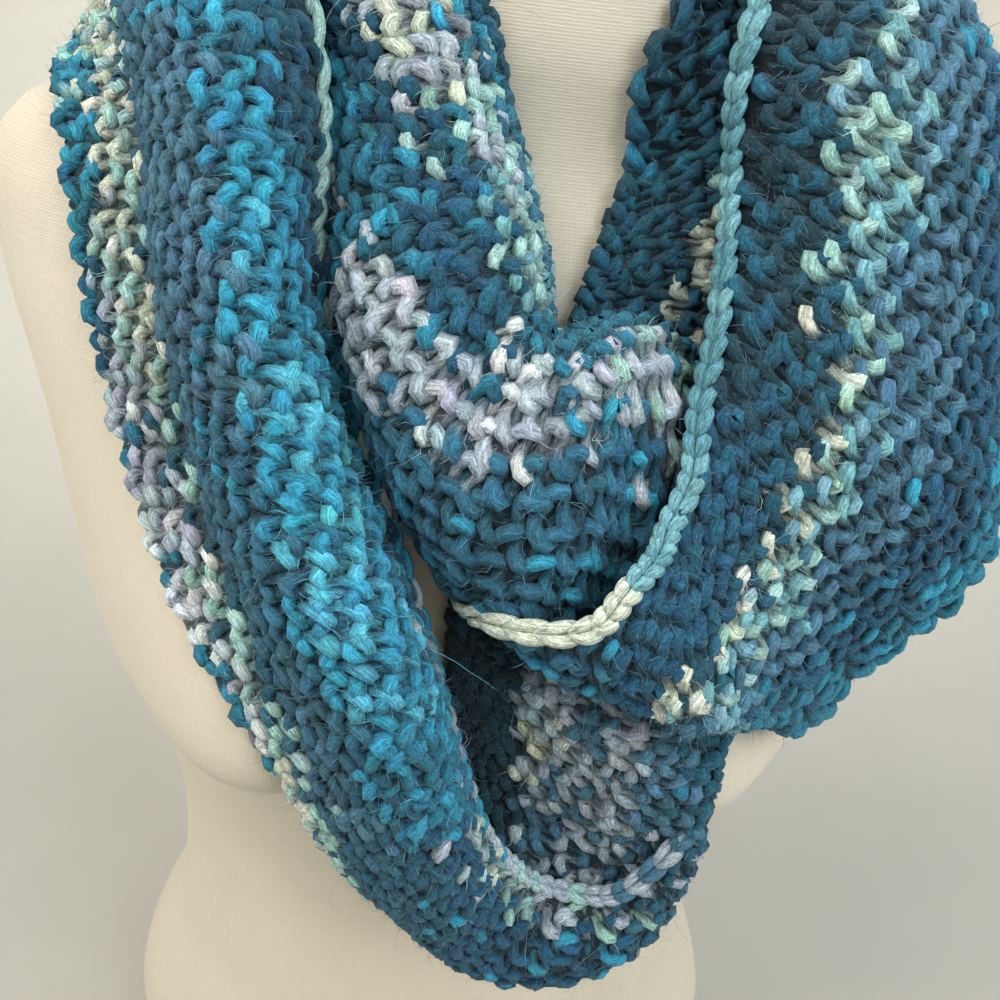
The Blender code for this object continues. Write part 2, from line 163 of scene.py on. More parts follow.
RIGHT_FALL = (
    ((52, -83, 492), (53, -107, 475), (48, -146, 402), (29, -152, 445)),
    ((67, -92, 468), (66, -116, 440), (60, -150, 401), (36, -147, 453)),
    ((82, -114, 422), (81, -138, 392), (69, -150, 407), (42, -140, 459)),
    ((92, -127, 393), (84, -142, 396), (68, -143, 426), (44, -135, 465)),
    ((99, -128, 379), (83, -141, 410), (65, -137, 442), (47, -132, 469)),
    ((124, -104, 381), (91, -125, 429), (67, -129, 459), (49, -125, 480)),
    ((143, -100, 403), (101, -122, 448), (72, -125, 476), (50, -116, 492)),
    ((160, -94, 421), (108, -120, 466), (77, -119, 490), (53, -107, 503)),
    ((166, -86, 445), (113, -114, 485), (80, -110, 506), (54, -97, 517)),
    ((167, -68, 471), (114, -102, 506), (80, -99, 525), (55, -85, 531)),
    ((169, -44, 495), (116, -88, 528), (81, -90, 545), (54, -77, 547)),
    ((169, -26, 517), (117, -75, 551), (82, -82, 564), (51, -75, 564)),
    ((174, -10, 524), (154, -10, 562), (118, -14, 594), (65, -34, 606)),
)
OUTER_NAPE = (
    ((176, 12, 526), (154, 12, 566), (120, 12, 596), (76, 8, 613)),
    ((166, 51, 500), (146, 46, 550), (116, 44, 583), (84, 38, 602)),
    ((144, 74, 468), (116, 97, 506), (90, 82, 542), (72, 64, 582)),
    ((74, 103, 448), (62, 114, 488), (50, 98, 530), (40, 81, 568)),
    ((0, 110, 438), (0, 120, 482), (0, 102, 526), (0, 86, 566)),
    ((-74, 103, 448), (-62, 114, 488), (-50, 99, 530), (-40, 81, 568)),
    ((-132, 83, 474), (-112, 98, 510), (-90, 79, 545), (-74, 64, 584)),
    ((-156, 60, 506), (-140, 44, 556), (-112, 42, 590), (-82, 36, 608)),
)

# The knitting: seed stitch in a thick, soft single-ply yarn
STITCHES = 236
ROWS = 26
ROW_RISE = 5.4
LOOP_SWAY = 0.13
ROW_LOW = 0.014
ROW_SPAN = 0.952
ROW_DRIFT = 0.2
LOOP_REACH = 0.84
LOOP_SLANT = 1.7
LOOP_DEPTH = 1.8
LEG_THICK = 0.8
TURN_THICK = 1.12
DYE_CHANGE = 0.16
YARN_WIDE = 2.5
YARN_HIGH = 2.05
YARN_TWIST = 0.10
BACKING_THICK = 1.6
BACKING_ACROSS = 12
# Painted shade: the backing takes each row's dye darkened to this share
BACKING_SHADE = 0.1

# How unevenly the yarn lies from loop to loop
RISE_SPREAD = 0.6
REACH_SPREAD = 0.1
SLANT_SPREAD = 0.65
DEPTH_SPREAD = 0.16
SWAY_SPREAD = 0.3
THICK_SPREAD = 0.1

# How unevenly the dye lies: a row's shift along, a stitch's, a stripe limit's in rows, tone, tint
ROW_SHIFT = 6.0
STITCH_SHIFT = 0.5
LIMIT_SPREAD = 0.3
TONE_SPREAD = 0.14
TINT_SPREAD = 0.04
LINK_SHIFT = 8
LINK_TONE = 0.06
DYE_RANGE = (0.004, 0.9)

# The edges: steps and sides of their yarn, the chain's links and the cast-on's beads
EDGE_STEPS = 8
EDGE_SIDES = 5
LINK_START = -2.0
LINK_LENGTH = 13.5
LINK_PLACES = (0, 0.15, 0.4, 0.65, 0.85, 1)
LINK_WIDTHS = (0.8, 1.4, 2.0, 2.2, 1.8, 1.1)
BEAD_RADIUS = 1.5
BEAD_INSET = 1.2
BEAD_YARN = 2.15

# Hairs: lengths and radii from least to most, and where they are left out
HAIR_FOOT = 1.9
SHORT_LENGTH = (2.5, 7.5)
SHORT_RADIUS = (0.03, 0.085)
STRAY_LENGTH = (12, 34)
STRAY_RADIUS = (0.04, 0.07)
STRAY_STEPS = 8
HAIR_BEYOND = 9.0
HAIR_FORM_LEVEL = 1.012
# Painted highlight: each hair's colour is its yarn's dye mixed this far towards a pale blue-grey,
# as fibres catch the light
HAIR_HIGHLIGHT_SHARE = 0.28
HAIR_HIGHLIGHT_COLOUR = (0.46, 0.62, 0.68)

# Yarn colours, sRGB hex
WOOL = {
    # Painted shade: the darkest colour, only for the deep shade inside the trough where the band
    # turns up at the bottom
    "painted_shade_night": "0D232C",
    "deep": "18566E",
    "navy": "185272",
    # A dark dye, deepened further so that it also paints the shade inside that trough
    "dark_dye_and_shade": "153A48",
    "teal": "247892",
    "dusk": "2F6078",
    "steel": "306F8C",
    "slate": "4C7A94",
    "turq": "2F9ABC",
    "cyan": "55BCD8",
    "sage": "78AEB8",
    "haze": "5C939F",
    "mint": "A6CEC8",
    "cream": "D6DECB",
    "lav": "B3C0CC",
    "white": "D8E0E4",
}

# The stripes at places along the band, each up to a share of the width: main and speck colours
STRIPES = (
    (20, ((.05, "teal", "mint", .3), (.12, "turq", "mint", .3), (.26, "cream", "mint", .3),
          (.45, "dusk", "turq", .04), (.64, "slate", "turq", .12), (.84, "turq", "teal", .3),
          (1, "deep", "navy", .2))),
    (80, ((.04, "teal", "mint", .3), (.12, "teal", "turq", .4), (.26, "cream", "mint", .4),
          (.45, "dusk", "slate", .3), (.66, "slate", "turq", .12), (.81, "turq", "teal", .3),
          (1, "deep", "navy", .3))),
    (140, ((.05, "teal", "navy", .4), (.14, "lav", "mint", .4), (.24, "cream", "mint", .3),
           (.45, "dusk", "slate", .3), (.69, "slate", "turq", .12), (.93, "turq", "cyan", .2),
           (1, "navy", "deep", .3))),
    (200, ((.03, "teal", "deep", .3), (.19, "lav", "white", .4), (.25, "mint", "dusk", .4),
           (.44, "dusk", "steel", .3), (.6, "steel", "turq", .15), (.92, "turq", "cyan", .3),
           (1, "turq", "navy", .3))),
    (250, ((.04, "teal", "white", .3), (.13, "white", "lav", .4), (.22, "mint", "dusk", .4),
           (.38, "dusk", "deep", .3), (.5, "steel", "turq", .2), (.82, "turq", "cyan", .3),
           (1, "steel", "lav", .2))),
    (300, ((.04, "cream", "teal", .3), (.14, "mint", "cream", .4), (.22, "dusk", "mint", .3),
           (.42, "dusk", "slate", .3), (.54, "deep", "turq", .15), (.9, "teal", "turq", .4),
           (1, "turq", "lav", .4))),
    (345, ((.1, "cream", "mint", .3), (.18, "dusk", "mint", .3), (.24, "dusk", "deep", .3),
           (.45, "dusk", "deep", .4), (.75, "deep", "turq", .1), (.9, "navy", "lav", .15),
           (1, "mint", "cream", .4))),
    (420, ((.1, "deep", "dusk", .3), (.18, "deep", "dusk", .3), (.24, "dusk", "deep", .3),
           (.45, "dusk", "deep", .4), (.75, "navy", "turq", .1), (.9, "navy", "turq", .15),
           (1, "mint", "lav", .4))),
    # Painted shade: here the band's inner side, deep in the trough at the bottom, takes the darkest
    # colours
    (475, ((.1, "painted_shade_night", "dark_dye_and_shade", .2), (.2, "painted_shade_night", "dark_dye_and_shade", .2), (.35, "dark_dye_and_shade", "painted_shade_night", .4),
           (.5, "lav", "slate", .4), (.75, "lav", "slate", .3), (.9, "dusk", "lav", .15),
           (1, "deep", "lav", .2))),
    (550, ((.1, "painted_shade_night", "dark_dye_and_shade", .2), (.2, "painted_shade_night", "dark_dye_and_shade", .2), (.33, "dark_dye_and_shade", "painted_shade_night", .4),
           (.48, "lav", "cream", .25), (.73, "lav", "slate", .3), (.88, "slate", "lav", .15),
           (1, "deep", "teal", .3))),
    (620, ((.1, "deep", "teal", .2), (.2, "deep", "teal", .2), (.3, "deep", "navy", .3),
           (.42, "lav", "mint", .3), (.62, "lav", "slate", .3), (.85, "slate", "dusk", .3),
           (1, "teal", "deep", .3))),
    (680, ((.1, "deep", "teal", .2), (.2, "deep", "navy", .2), (.25, "deep", "navy", .2),
           (.33, "cream", "deep", .5), (.5, "mint", "dusk", .4), (.8, "slate", "dusk", .3),
           (1, "teal", "turq", .2))),
    (760, ((.1, "deep", "teal", .2), (.2, "deep", "teal", .2), (.28, "deep", "navy", .2),
           (.34, "mint", "deep", .4), (.5, "dusk", "slate", .4), (.8, "slate", "dusk", .3),
           (1, "teal", "deep", .3))),
    (960, ((.1, "teal", "deep", .3), (.2, "turq", "teal", .3), (.32, "deep", "navy", .3),
           (.45, "lav", "mint", .3), (.65, "slate", "turq", .1), (.85, "navy", "deep", .3),
           (1, "teal", "turq", .3))),
    (1120, ((.1, "deep", "navy", .3), (.22, "teal", "turq", .3), (.5, "lav", "cream", .3),
            (.6, "deep", "navy", .3), (.72, "teal", "turq", .2), (.85, "teal", "deep", .3),
            (1, "deep", "teal", .3))),
    (1190, ((.08, "deep", "navy", .3), (.2, "teal", "turq", .3), (.43, "lav", "cream", .35),
            (.52, "navy", "deep", .3), (.64, "deep", "turq", .1), (.85, "teal", "turq", .3),
            (1, "teal", "deep", .3))),
    (1225, ((.04, "sage", "teal", .4), (.12, "steel", "mint", .2), (.36, "mint", "lav", .4),
            (.42, "teal", "mint", .2), (.55, "navy", "turq", .1), (.77, "teal", "turq", .2),
            (1, "lav", "teal", .35))),
    (1250, ((.13, "steel", "mint", .4), (.34, "mint", "sage", .4), (.38, "deep", "mint", .2),
            (.5, "navy", "deep", .3), (.58, "deep", "teal", .3), (.9, "lav", "white", .25),
            (1, "steel", "turq", .12))),
    (1258, ((.13, "steel", "mint", .4), (.33, "mint", "sage", .4), (.37, "deep", "mint", .2),
            (.5, "navy", "deep", .3), (.55, "deep", "teal", .3), (.84, "lav", "white", .25),
            (1, "steel", "turq", .12))),
    (1282, ((.13, "steel", "mint", .4), (.31, "mint", "sage", .4), (.34, "deep", "mint", .2),
            (.43, "navy", "deep", .3), (.45, "teal", "deep", .3), (.63, "lav", "white", .25),
            (1, "steel", "turq", .14))),
    (1300, ((.06, "dusk", "mint", .4), (.1, "mint", "teal", .4), (.14, "teal", "mint", .2),
            (.3, "teal", "deep", .4), (.35, "teal", "deep", .3), (.5, "lav", "white", .25),
            (1, "steel", "turq", .14))),
    (1317, ((.04, "dusk", "teal", .4), (.08, "teal", "mint", .2), (.12, "teal", "deep", .3),
            (.2, "teal", "deep", .3), (.28, "teal", "lav", .2), (.42, "lav", "white", .25),
            (1, "steel", "turq", .14))),
    (1350, ((.02, "teal", "deep", .3), (.05, "teal", "deep", .3), (.08, "teal", "mint", .3),
            (.11, "teal", "mint", .3), (.18, "teal", "lav", .3), (.34, "lav", "mint", .25),
            (1, "steel", "turq", .14))),
    (1378, ((.01, "teal", "mint", .3), (.02, "teal", "mint", .3), (.03, "teal", "mint", .3),
            (.04, "teal", "mint", .3), (.05, "mint", "lav", .3), (.2, "lav", "mint", .4),
            (1, "navy", "turq", .15))),
    (1392, ((.1, "teal", "lav", .3), (.2, "sage", "slate", .4), (.4, "deep", "teal", .3),
            (.56, "slate", "sage", .15), (.7, "sage", "slate", .4), (.79, "cream", "deep", .5),
            (1, "navy", "deep", .3))),
    (1440, ((.1, "deep", "turq", .1), (.26, "teal", "deep", .4), (.34, "navy", "teal", .3),
            (.48, "slate", "sage", .4), (.63, "sage", "mint", .4), (.73, "cream", "deep", .45),
            (1, "navy", "deep", .3))),
    (1480, ((.15, "teal", "turq", .15), (.38, "navy", "teal", .3), (.52, "slate", "dusk", .3),
            (.58, "sage", "slate", .4), (.66, "sage", "mint", .4), (.74, "cream", "deep", .45),
            (1, "navy", "deep", .3))),
    (1525, ((.2, "teal", "turq", .15), (.42, "navy", "turq", .12), (.6, "slate", "dusk", .3),
            (.65, "slate", "sage", .3), (.72, "sage", "mint", .4), (.79, "cream", "deep", .45),
            (1, "deep", "dark_dye_and_shade", .3))),
    (1590, ((.2, "teal", "turq", .15), (.43, "navy", "turq", .12), (.62, "slate", "dusk", .3),
            (.67, "slate", "sage", .3), (.76, "sage", "mint", .4), (.82, "mint", "deep", .45),
            (1, "dark_dye_and_shade", "deep", .4))),
    (1660, ((.2, "teal", "deep", .4), (.46, "navy", "turq", .12), (.62, "slate", "turq", .08),
            (.7, "slate", "dusk", .3), (.77, "sage", "mint", .4), (.83, "sage", "deep", .4),
            (1, "dark_dye_and_shade", "deep", .4))),
    (1760, ((.1, "teal", "deep", .3), (.35, "navy", "turq", .1), (.55, "slate", "turq", .05),
            (.68, "slate", "dusk", .3), (.76, "sage", "mint", .4), (.84, "sage", "dusk", .4),
            (1, "deep", "dark_dye_and_shade", .3))),
    (1900, ((.08, "teal", "turq", .3), (.2, "teal", "mint", .3), (.42, "slate", "turq", .1),
            (.66, "slate", "dusk", .3), (.78, "mint", "dusk", .4), (.9, "teal", "deep", .3),
            (1, "deep", "dark_dye_and_shade", .3))),
    (2060, ((.06, "teal", "mint", .3), (.13, "turq", "mint", .3), (.26, "cream", "mint", .3),
            (.45, "dusk", "slate", .3), (.64, "slate", "turq", .1), (.84, "turq", "teal", .3),
            (1, "deep", "navy", .3))),
)

# The chain's colours at places along the band: main and speck colours
CHAIN = (
    (0, "mint", "dusk", .2), (130, "mint", "turq", .3), (200, "turq", "lav", .4),
    (300, "lav", "turq", .4), (360, "mint", "lav", .4), (450, "slate", "lav", .4),
    (500, "deep", "lav", .35), (700, "teal", "turq", .3), (1000, "teal", "mint", .3),
    (1200, "deep", "teal", .3), (1300, "steel", "teal", .3), (1322, "cream", "mint", .1),
    (1402, "sage", "haze", .3), (1490, "haze", "sage", .4), (1680, "haze", "dusk", .3),
    (1900, "mint", "teal", .3),
)

STRETCHES = ("left_fall", "lower_turn", "right_rise", "nape_inner", "inner_drape",
             "right_fall", "nape_outer")
# Steps along each loop and sides round its yarn, fewer where another layer hides it
LOOP_DETAIL = {"left_fall": (12, 5), "lower_turn": (12, 5), "right_rise": (8, 4),
               "nape_inner": (8, 4), "inner_drape": (12, 5), "right_fall": (12, 5),
               "nape_outer": (10, 5)}

# Painted shade: the yarn's colour is darkened deep between the loops, where shade falls; distances
# from the band's middle
RELIEF_LOW = 0.8
RELIEF_HIGH = 3.3
CREVICE_SHADE = 0.14

# The round floor in metres: a flat disc, a last flat ring so that it shades flat, a rim that
# curves up and a wall
FLOOR_FLAT = 1.6
FLOOR_RING = 0.1
FLOOR_CURVE = 0.5
FLOOR_WALL = 1.5
FLOOR_BELOW = 0.0005
FLOOR_ROUND = 64
FLOOR_STEPS = 12

# Lights: name, place, target, size, power and colour
SUBJECT = (0.0, -0.05, 0.42)
LIGHTS = (
    ("key_light", (-0.75, -0.45, 1.6), SUBJECT, 0.8, 12.5, (1.0, 0.97, 0.91)),
    ("fill_light", (0.8, -0.7, 1.3), SUBJECT, 1.2, 16.0, (0.93, 0.98, 1.0)),
    ("side_light", (-1.2, -0.5, 0.9), SUBJECT, 0.8, 3.5, (1.0, 0.98, 0.94)),
    ("wall_light", (0.0, 1.1, 1.3), (0.0, 2.1, 0.4), 1.2, 26.0, (1.0, 0.98, 0.92)),
)

CAMERA_PLACE = (-0.0217, -0.3595, 0.6082)
CAMERA_AZIMUTH = -4.72
CAMERA_ELEVATION = 32.27
CAMERA_ROLL = 7.71


def mirrored(sections):
    return tuple(
        tuple((-x, y, z) for x, y, z in section) for section in reversed(sections)
    )


def outward(direction):
    return direction / np.linalg.norm(direction, axis=-1, keepdims=True)


def steady_curve(knots, values, where):
    """A smooth curve through the values that never swings past them (monotone cubic)."""
    step = np.diff(knots)
    slope = np.diff(values) / step
    tangent = np.zeros(len(knots))
    before, after = slope[:-1], slope[1:]
    weight_before = 2 * step[1:] + step[:-1]
    weight_after = step[1:] + 2 * step[:-1]
    same_way = before * after > 0
    tangent[1:-1][same_way] = (weight_before + weight_after)[same_way] / (
        weight_before[same_way] / before[same_way]
        + weight_after[same_way] / after[same_way]
    )
    tangent[0], tangent[-1] = slope[0], slope[-1]
    where = np.clip(where, knots[0], knots[-1])
    cell = np.clip(np.searchsorted(knots, where, side="right") - 1, 0, len(step) - 1)
    width = step[cell]
    share = (where - knots[cell]) / width
    return (
        values[cell] * (1 + 2 * share) * (1 - share) ** 2
        + values[cell + 1] * (3 - 2 * share) * share**2
        + width * tangent[cell] * share * (1 - share) ** 2
        - width * tangent[cell + 1] * share**2 * (1 - share)
    )


def form_widths(z):
    """The form's half width, front depth and back depth at heights z."""
    table = np.array(FORM_SECTIONS, float)
    return [steady_curve(table[:, 0], table[:, column], z) for column in (1, 2, 3)]


def bust_depth(x, z):
    """How far the bust stands out of the form's front."""
    reach = np.where(z > BUST_HEIGHT, BUST_ABOVE, BUST_BELOW)
    rise = ((z - BUST_HEIGHT) / reach) ** 2
    return BUST_DEPTH * sum(
        np.exp(-(((x - side * BUST_ACROSS) / BUST_WIDTH) ** 2) - rise) for side in (-1, 1)
    )


def form_level(points):
    """Below 1 inside the form, 1 on its surface and above 1 outside."""
    x, y, z = points[..., 0], points[..., 1], points[..., 2]
    half_width, front, back = form_widths(z)
    depth = np.where(y < 0, front + bust_depth(x, z), back)
    n = FORM_ROUNDNESS
    return ((np.abs(x) / half_width) ** n + (np.abs(y) / depth) ** n) ** (1 / n)


def held_off_form(points, distance):
    """The points, with any that come nearer to the form than distance moved straight out."""
    step = 0.5
    for _ in range(PUSH_ROUNDS):
        level = form_level(points)
        slope = np.stack(
            [
                (form_level(points + move) - form_level(points - move)) / (2 * step)
                for move in np.eye(3) * step
            ],
            axis=-1,
        )
        steep = np.linalg.norm(slope, axis=-1)
        short = np.maximum(distance - (level - 1) / steep, 0)
        points = points + slope / steep[..., None] * short[..., None]
    return points


def natural_spline(knots, values, where):
    step = np.diff(knots)
    count = len(knots)
    system = np.eye(count)
    right = np.zeros((count, values.shape[1]))
    for k in range(1, count - 1):
        system[k, k - 1 : k + 2] = step[k - 1], 2 * (step[k - 1] + step[k]), step[k]
        right[k] = 6 * (
            (values[k + 1] - values[k]) / step[k] - (values[k] - values[k - 1]) / step[k - 1]
        )
    return spline_values(knots, values, np.linalg.solve(system, right), where)


def closed_spline(knots, values, where):
    step = np.diff(knots)
    count = len(values)
    system = np.zeros((count, count))
    right = np.zeros((count, values.shape[1]))
    for k in range(count):
        before, after = (k - 1) % count, (k + 1) % count
        system[k, before] += step[before]
        system[k, k] += 2 * (step[before] + step[k])
        system[k, after] += step[k]
        right[k] = 6 * (
            (values[after] - values[k]) / step[k] - (values[k] - values[before]) / step[before]
        )
    bend = np.linalg.solve(system, right)
    values = np.concatenate([values, values[:1]])
    bend = np.concatenate([bend, bend[:1]])
    return spline_values(knots, values, bend, np.mod(where, knots[-1]))


def spline_values(knots, values, bend, where):
    cell = np.clip(np.searchsorted(knots, where, side="right") - 1, 0, len(knots) - 2)
    width = (knots[cell + 1] - knots[cell])[:, None]
    far = (where - knots[cell])[:, None] / width
    near = 1 - far
    return (
        near * values[cell]
        + far * values[cell + 1]
        + ((near**3 - near) * bend[cell] + (far**3 - far) * bend[cell + 1]) * width**2 / 6
    )


def along_length(points):
    steps = np.linalg.norm(np.diff(points, axis=0), axis=1)
    return np.concatenate([[0.0], np.cumsum(steps)])


def across_band(section, count):
    """Evenly spaced points across one section, from the cast-on edge to the chain edge."""
    section = np.array(section, float)
    knots = along_length(section)
    fine = natural_spline(knots, section, np.linspace(0, knots[-1], SECTION_FINE))
    length = along_length(fine)
    places = np.linspace(0, length[-1], count)
    return np.stack([np.interp(places, length, fine[:, axis]) for axis in range(3)], axis=-1)


def softened(lattice, spread, axis):
    """The lattice averaged along one axis over about spread steps, so that folds are round."""
    reach = math.ceil(2.5 * spread)
    steps = np.arange(-reach, reach + 1)
    weights = np.exp(-0.5 * (steps / spread) ** 2)
    weights /= weights.sum()
    if axis == 0:
        return sum(w * np.roll(lattice, -k, axis=0) for k, w in zip(steps, weights))
    first, last = lattice[:, :1], lattice[:, -1:]
    before = 2 * first - lattice[:, reach:0:-1]
    after = 2 * last - lattice[:, -2 : -2 - reach : -1]
    wide = np.concatenate([before, lattice, after], axis=1)
    count = lattice.shape[1]
    return sum(w * wide[:, reach + k : reach + k + count] for k, w in zip(steps, weights))


def lattice_normals(lattice):
    """Unit normals of the closed lattice, on the knitting's right side."""
    down = np.roll(lattice, -1, axis=0) - np.roll(lattice, 1, axis=0)
    over = np.gradient(lattice, axis=1)
    return outward(np.cross(down, over))


class Band:
    """The middle of the whole closed band, as a lattice of points along and across."""

    def __init__(self):
        nape = INNER_NAPE_SIDE + INNER_NAPE_MIDDLE + mirrored(INNER_NAPE_SIDE[1:])
        tables = (LEFT_FALL, LOWER_TURN, RIGHT_RISE, nape, INNER_DRAPE, RIGHT_FALL, OUTER_NAPE)
        starts = []
        sections = []
        for rows in tables:
            starts.append(len(sections))
            sections += rows
        grid = np.array([across_band(section, LATTICE_ACROSS) for section in sections])
        closed = np.concatenate([grid, grid[:1]])
        gaps = np.linalg.norm(np.diff(closed, axis=0), axis=2).mean(axis=1)
        knots = np.concatenate([[0.0], np.cumsum(gaps)])
        self.length = knots[-1]
        ends = starts[1:] + [len(knots) - 1]
        self.limits = {
            name: (knots[start], knots[end])
            for name, start, end in zip(STRETCHES, starts, ends)
        }
        count = round(self.length / LATTICE_STEP)
        self.step = self.length / count
        along = np.arange(count) * self.step
        flat = closed_spline(knots, grid.reshape(len(grid), -1), along)
        lattice = flat.reshape(count, LATTICE_ACROSS, 3)
        lattice = lattice - lattice_normals(lattice) * self.crease(along)[..., None]
        lattice = softened(softened(lattice, SOFTEN_ALONG / self.step, 0), SOFTEN_ACROSS, 1)
        self.lattice = held_off_form(lattice, WALL / 2 + FORM_CLEARANCE)
        self.normals = lattice_normals(self.lattice)

    def crease(self, along):
        start, end = self.limits["left_fall"]
        fade_in = np.clip((along - start) / CREASE_FADE, 0, 1)
        fade_out = np.clip((end - along) / CREASE_FADE, 0, 1)
        strength = np.minimum(fade_in, fade_out)
        offset = (np.linspace(0, 1, LATTICE_ACROSS) - CREASE_PLACE) / CREASE_WIDTH
        return CREASE_DEPTH * strength[:, None] * np.exp(-(offset**2))[None]

    def look_up(self, lattice, along, across):
        """Values of a lattice at places along (mm) and across (0 to 1, or just outside)."""
        along, across = np.broadcast_arrays(along, across)
        place = np.mod(along / self.step, len(lattice))
        low = np.floor(place).astype(int)
        share = (place - low)[..., None]
        low = low % len(lattice)
        high = (low + 1) % len(lattice)
        column = across * (LATTICE_ACROSS - 1)
        left = np.clip(np.floor(column).astype(int), 0, LATTICE_ACROSS - 2)
        side = (column - left)[..., None]
        near = lattice[low, left] * (1 - side) + lattice[low, left + 1] * side
        far = lattice[high, left] * (1 - side) + lattice[high, left + 1] * side
        return near * (1 - share) + far * share

    def points(self, along, across):
        return self.look_up(self.lattice, along, across)

    def facing(self, along, across):
        return outward(self.look_up(self.normals, along, np.clip(across, 0, 1)))


def linear(hex_colour):
    """Linear RGB from an sRGB hex."""
    value = np.array([int(hex_colour[k : k + 2], 16) / 255 for k in (0, 2, 4)])
    return np.where(value <= 0.04045, value / 12.92, ((value + 0.055) / 1.055) ** 2.4)


def row_middle(row):
    """Where a row's middle lies across the band, 0 at the cast-on edge to 1 at the chain."""
    return ROW_LOW + (row + 0.5) / ROWS * ROW_SPAN


def wool_colours(band):
    """A colour for each stitch of each row, as an array (rows, stitches, 3)."""
    places = np.array([row[0] for row in STRIPES], float)
    limits = np.array([[stripe[0] for stripe in row[1]] for row in STRIPES])
    mains = np.array([[linear(WOOL[s[1]]) for s in row[1]] for row in STRIPES])
    specks = np.array([[linear(WOOL[s[2]]) for s in row[1]] for row in STRIPES])
    shares = np.array([[s[3] for s in row[1]] for row in STRIPES])
    length = band.length
    around = np.concatenate([[places[-1] - length], places, [places[0] + length]])
    order = np.concatenate([[len(places) - 1], np.arange(len(places)), [0]])
    pitch = length / STITCHES
    colours = np.zeros((ROWS, STITCHES, 3))
    for row in range(ROWS):
        shift = RANDOM.normal(0, ROW_SHIFT)
        along = np.arange(STITCHES) * pitch + pitch / 2 + shift
        along += np.cumsum(RANDOM.normal(0, STITCH_SHIFT, STITCHES))
        along = np.clip(along, around[0] + 1, around[-1] - 1)
        cell = np.clip(np.searchsorted(around, along) - 1, 0, len(around) - 2)
        share = (along - around[cell]) / (around[cell + 1] - around[cell])
        low, high = order[cell], order[cell + 1]
        edges = limits[low] * (1 - share[:, None]) + limits[high] * share[:, None]
        across = row_middle(row) + RANDOM.normal(0, LIMIT_SPREAD / ROWS, STITCHES)
        stripe = np.minimum((across[:, None] > edges).sum(axis=1), limits.shape[1] - 1)
        chosen = np.where(share < 0.5, low, high)
        colour = mains[chosen, stripe]
        speck = RANDOM.random(STITCHES) < shares[chosen, stripe]
        colours[row] = np.where(speck[:, None], specks[chosen, stripe], colour)
    tone = 1 + RANDOM.normal(0, TONE_SPREAD, (ROWS, STITCHES, 1))
    tint = 1 + RANDOM.normal(0, TINT_SPREAD, (ROWS, STITCHES, 3))
    return np.clip(colours * tone * tint, *DYE_RANGE)


def chain_colours(band):
    """A colour for each link of the bind-off chain."""
    pitch = band.length / STITCHES
    along = (np.arange(STITCHES) + 0.5) * pitch + RANDOM.normal(0, LINK_SHIFT, STITCHES)
    places = np.array([row[0] for row in CHAIN], float)
    row = np.clip(np.searchsorted(places, along) - 1, 0, len(CHAIN) - 1)
    mains = np.array([linear(WOOL[entry[1]]) for entry in CHAIN])
    specks = np.array([linear(WOOL[entry[2]]) for entry in CHAIN])
    share = np.array([entry[3] for entry in CHAIN])
    speck = RANDOM.random(STITCHES) < share[row]
    colour = np.where(speck[:, None], specks[row], mains[row])
    return np.clip(colour * (1 + RANDOM.normal(0, LINK_TONE, (STITCHES, 1))), *DYE_RANGE)


def tube_rings(paths, ups, wide, high, sides, twist=0.0):
    """Rings of points round each path, an array (paths, samples, sides, 3), and their angles."""
    tangent = outward(np.gradient(paths, axis=1))
    across = outward(np.cross(tangent, ups))
    up = np.cross(across, tangent)
    angle = np.arange(sides) * 2 * math.pi / sides
    cos, sin = np.cos(angle)[None, None, :, None], np.sin(angle)[None, None, :, None]
    rings = (
        paths[:, :, None]
        + across[:, :, None] * cos * wide[..., None, None]
        + up[:, :, None] * sin * high[..., None, None]
    )
    step = np.linalg.norm(np.diff(paths, axis=1), axis=-1)
    length = np.concatenate([np.zeros((len(paths), 1)), np.cumsum(step, axis=1)], axis=1)
    turned = angle[None, None] + twist * length[..., None]
    radius = wide[..., None]
    fibre = np.stack(
        [np.cos(turned) * radius, np.sin(turned) * radius, np.repeat(length[..., None], sides, 2)],
        axis=-1,
    )
    return rings, fibre


def tube_faces(count, samples, sides):
    """Quads for the walls of the tubes, and triangles for both their ends."""
    first = (np.arange(count) * samples * sides)[:, None, None]
    ring = (np.arange(samples - 1) * sides)[None, :, None]
    side = np.arange(sides)[None, None]
    after = (side + 1) % sides
    base = first + ring
    quads = np.stack(
        [base + side, base + after, base + sides + after, base + sides + side], axis=-1
    ).reshape(-1, 4)
    fan = np.arange(1, sides - 1)
    starts = (np.arange(count) * samples * sides)[:, None]
    near = np.stack([starts + 0 * fan, starts + fan + 1, starts + fan], axis=-1)
    last = starts + (samples - 1) * sides
    far = np.stack([last + 0 * fan, last + fan, last + fan + 1], axis=-1)
    return quads, np.concatenate([near.reshape(-1, 3), far.reshape(-1, 3)])


def mesh_object(name, points, faces, material):
    """A smooth mesh in the scene, from points in metres."""
    mesh = bpy.data.meshes.new(name)
    mesh.from_pydata(points, [], faces)
    mesh.shade_smooth()
    mesh.materials.append(material)
    made = bpy.data.objects.new(name, mesh)
    bpy.context.scene.collection.objects.link(made)
    return made


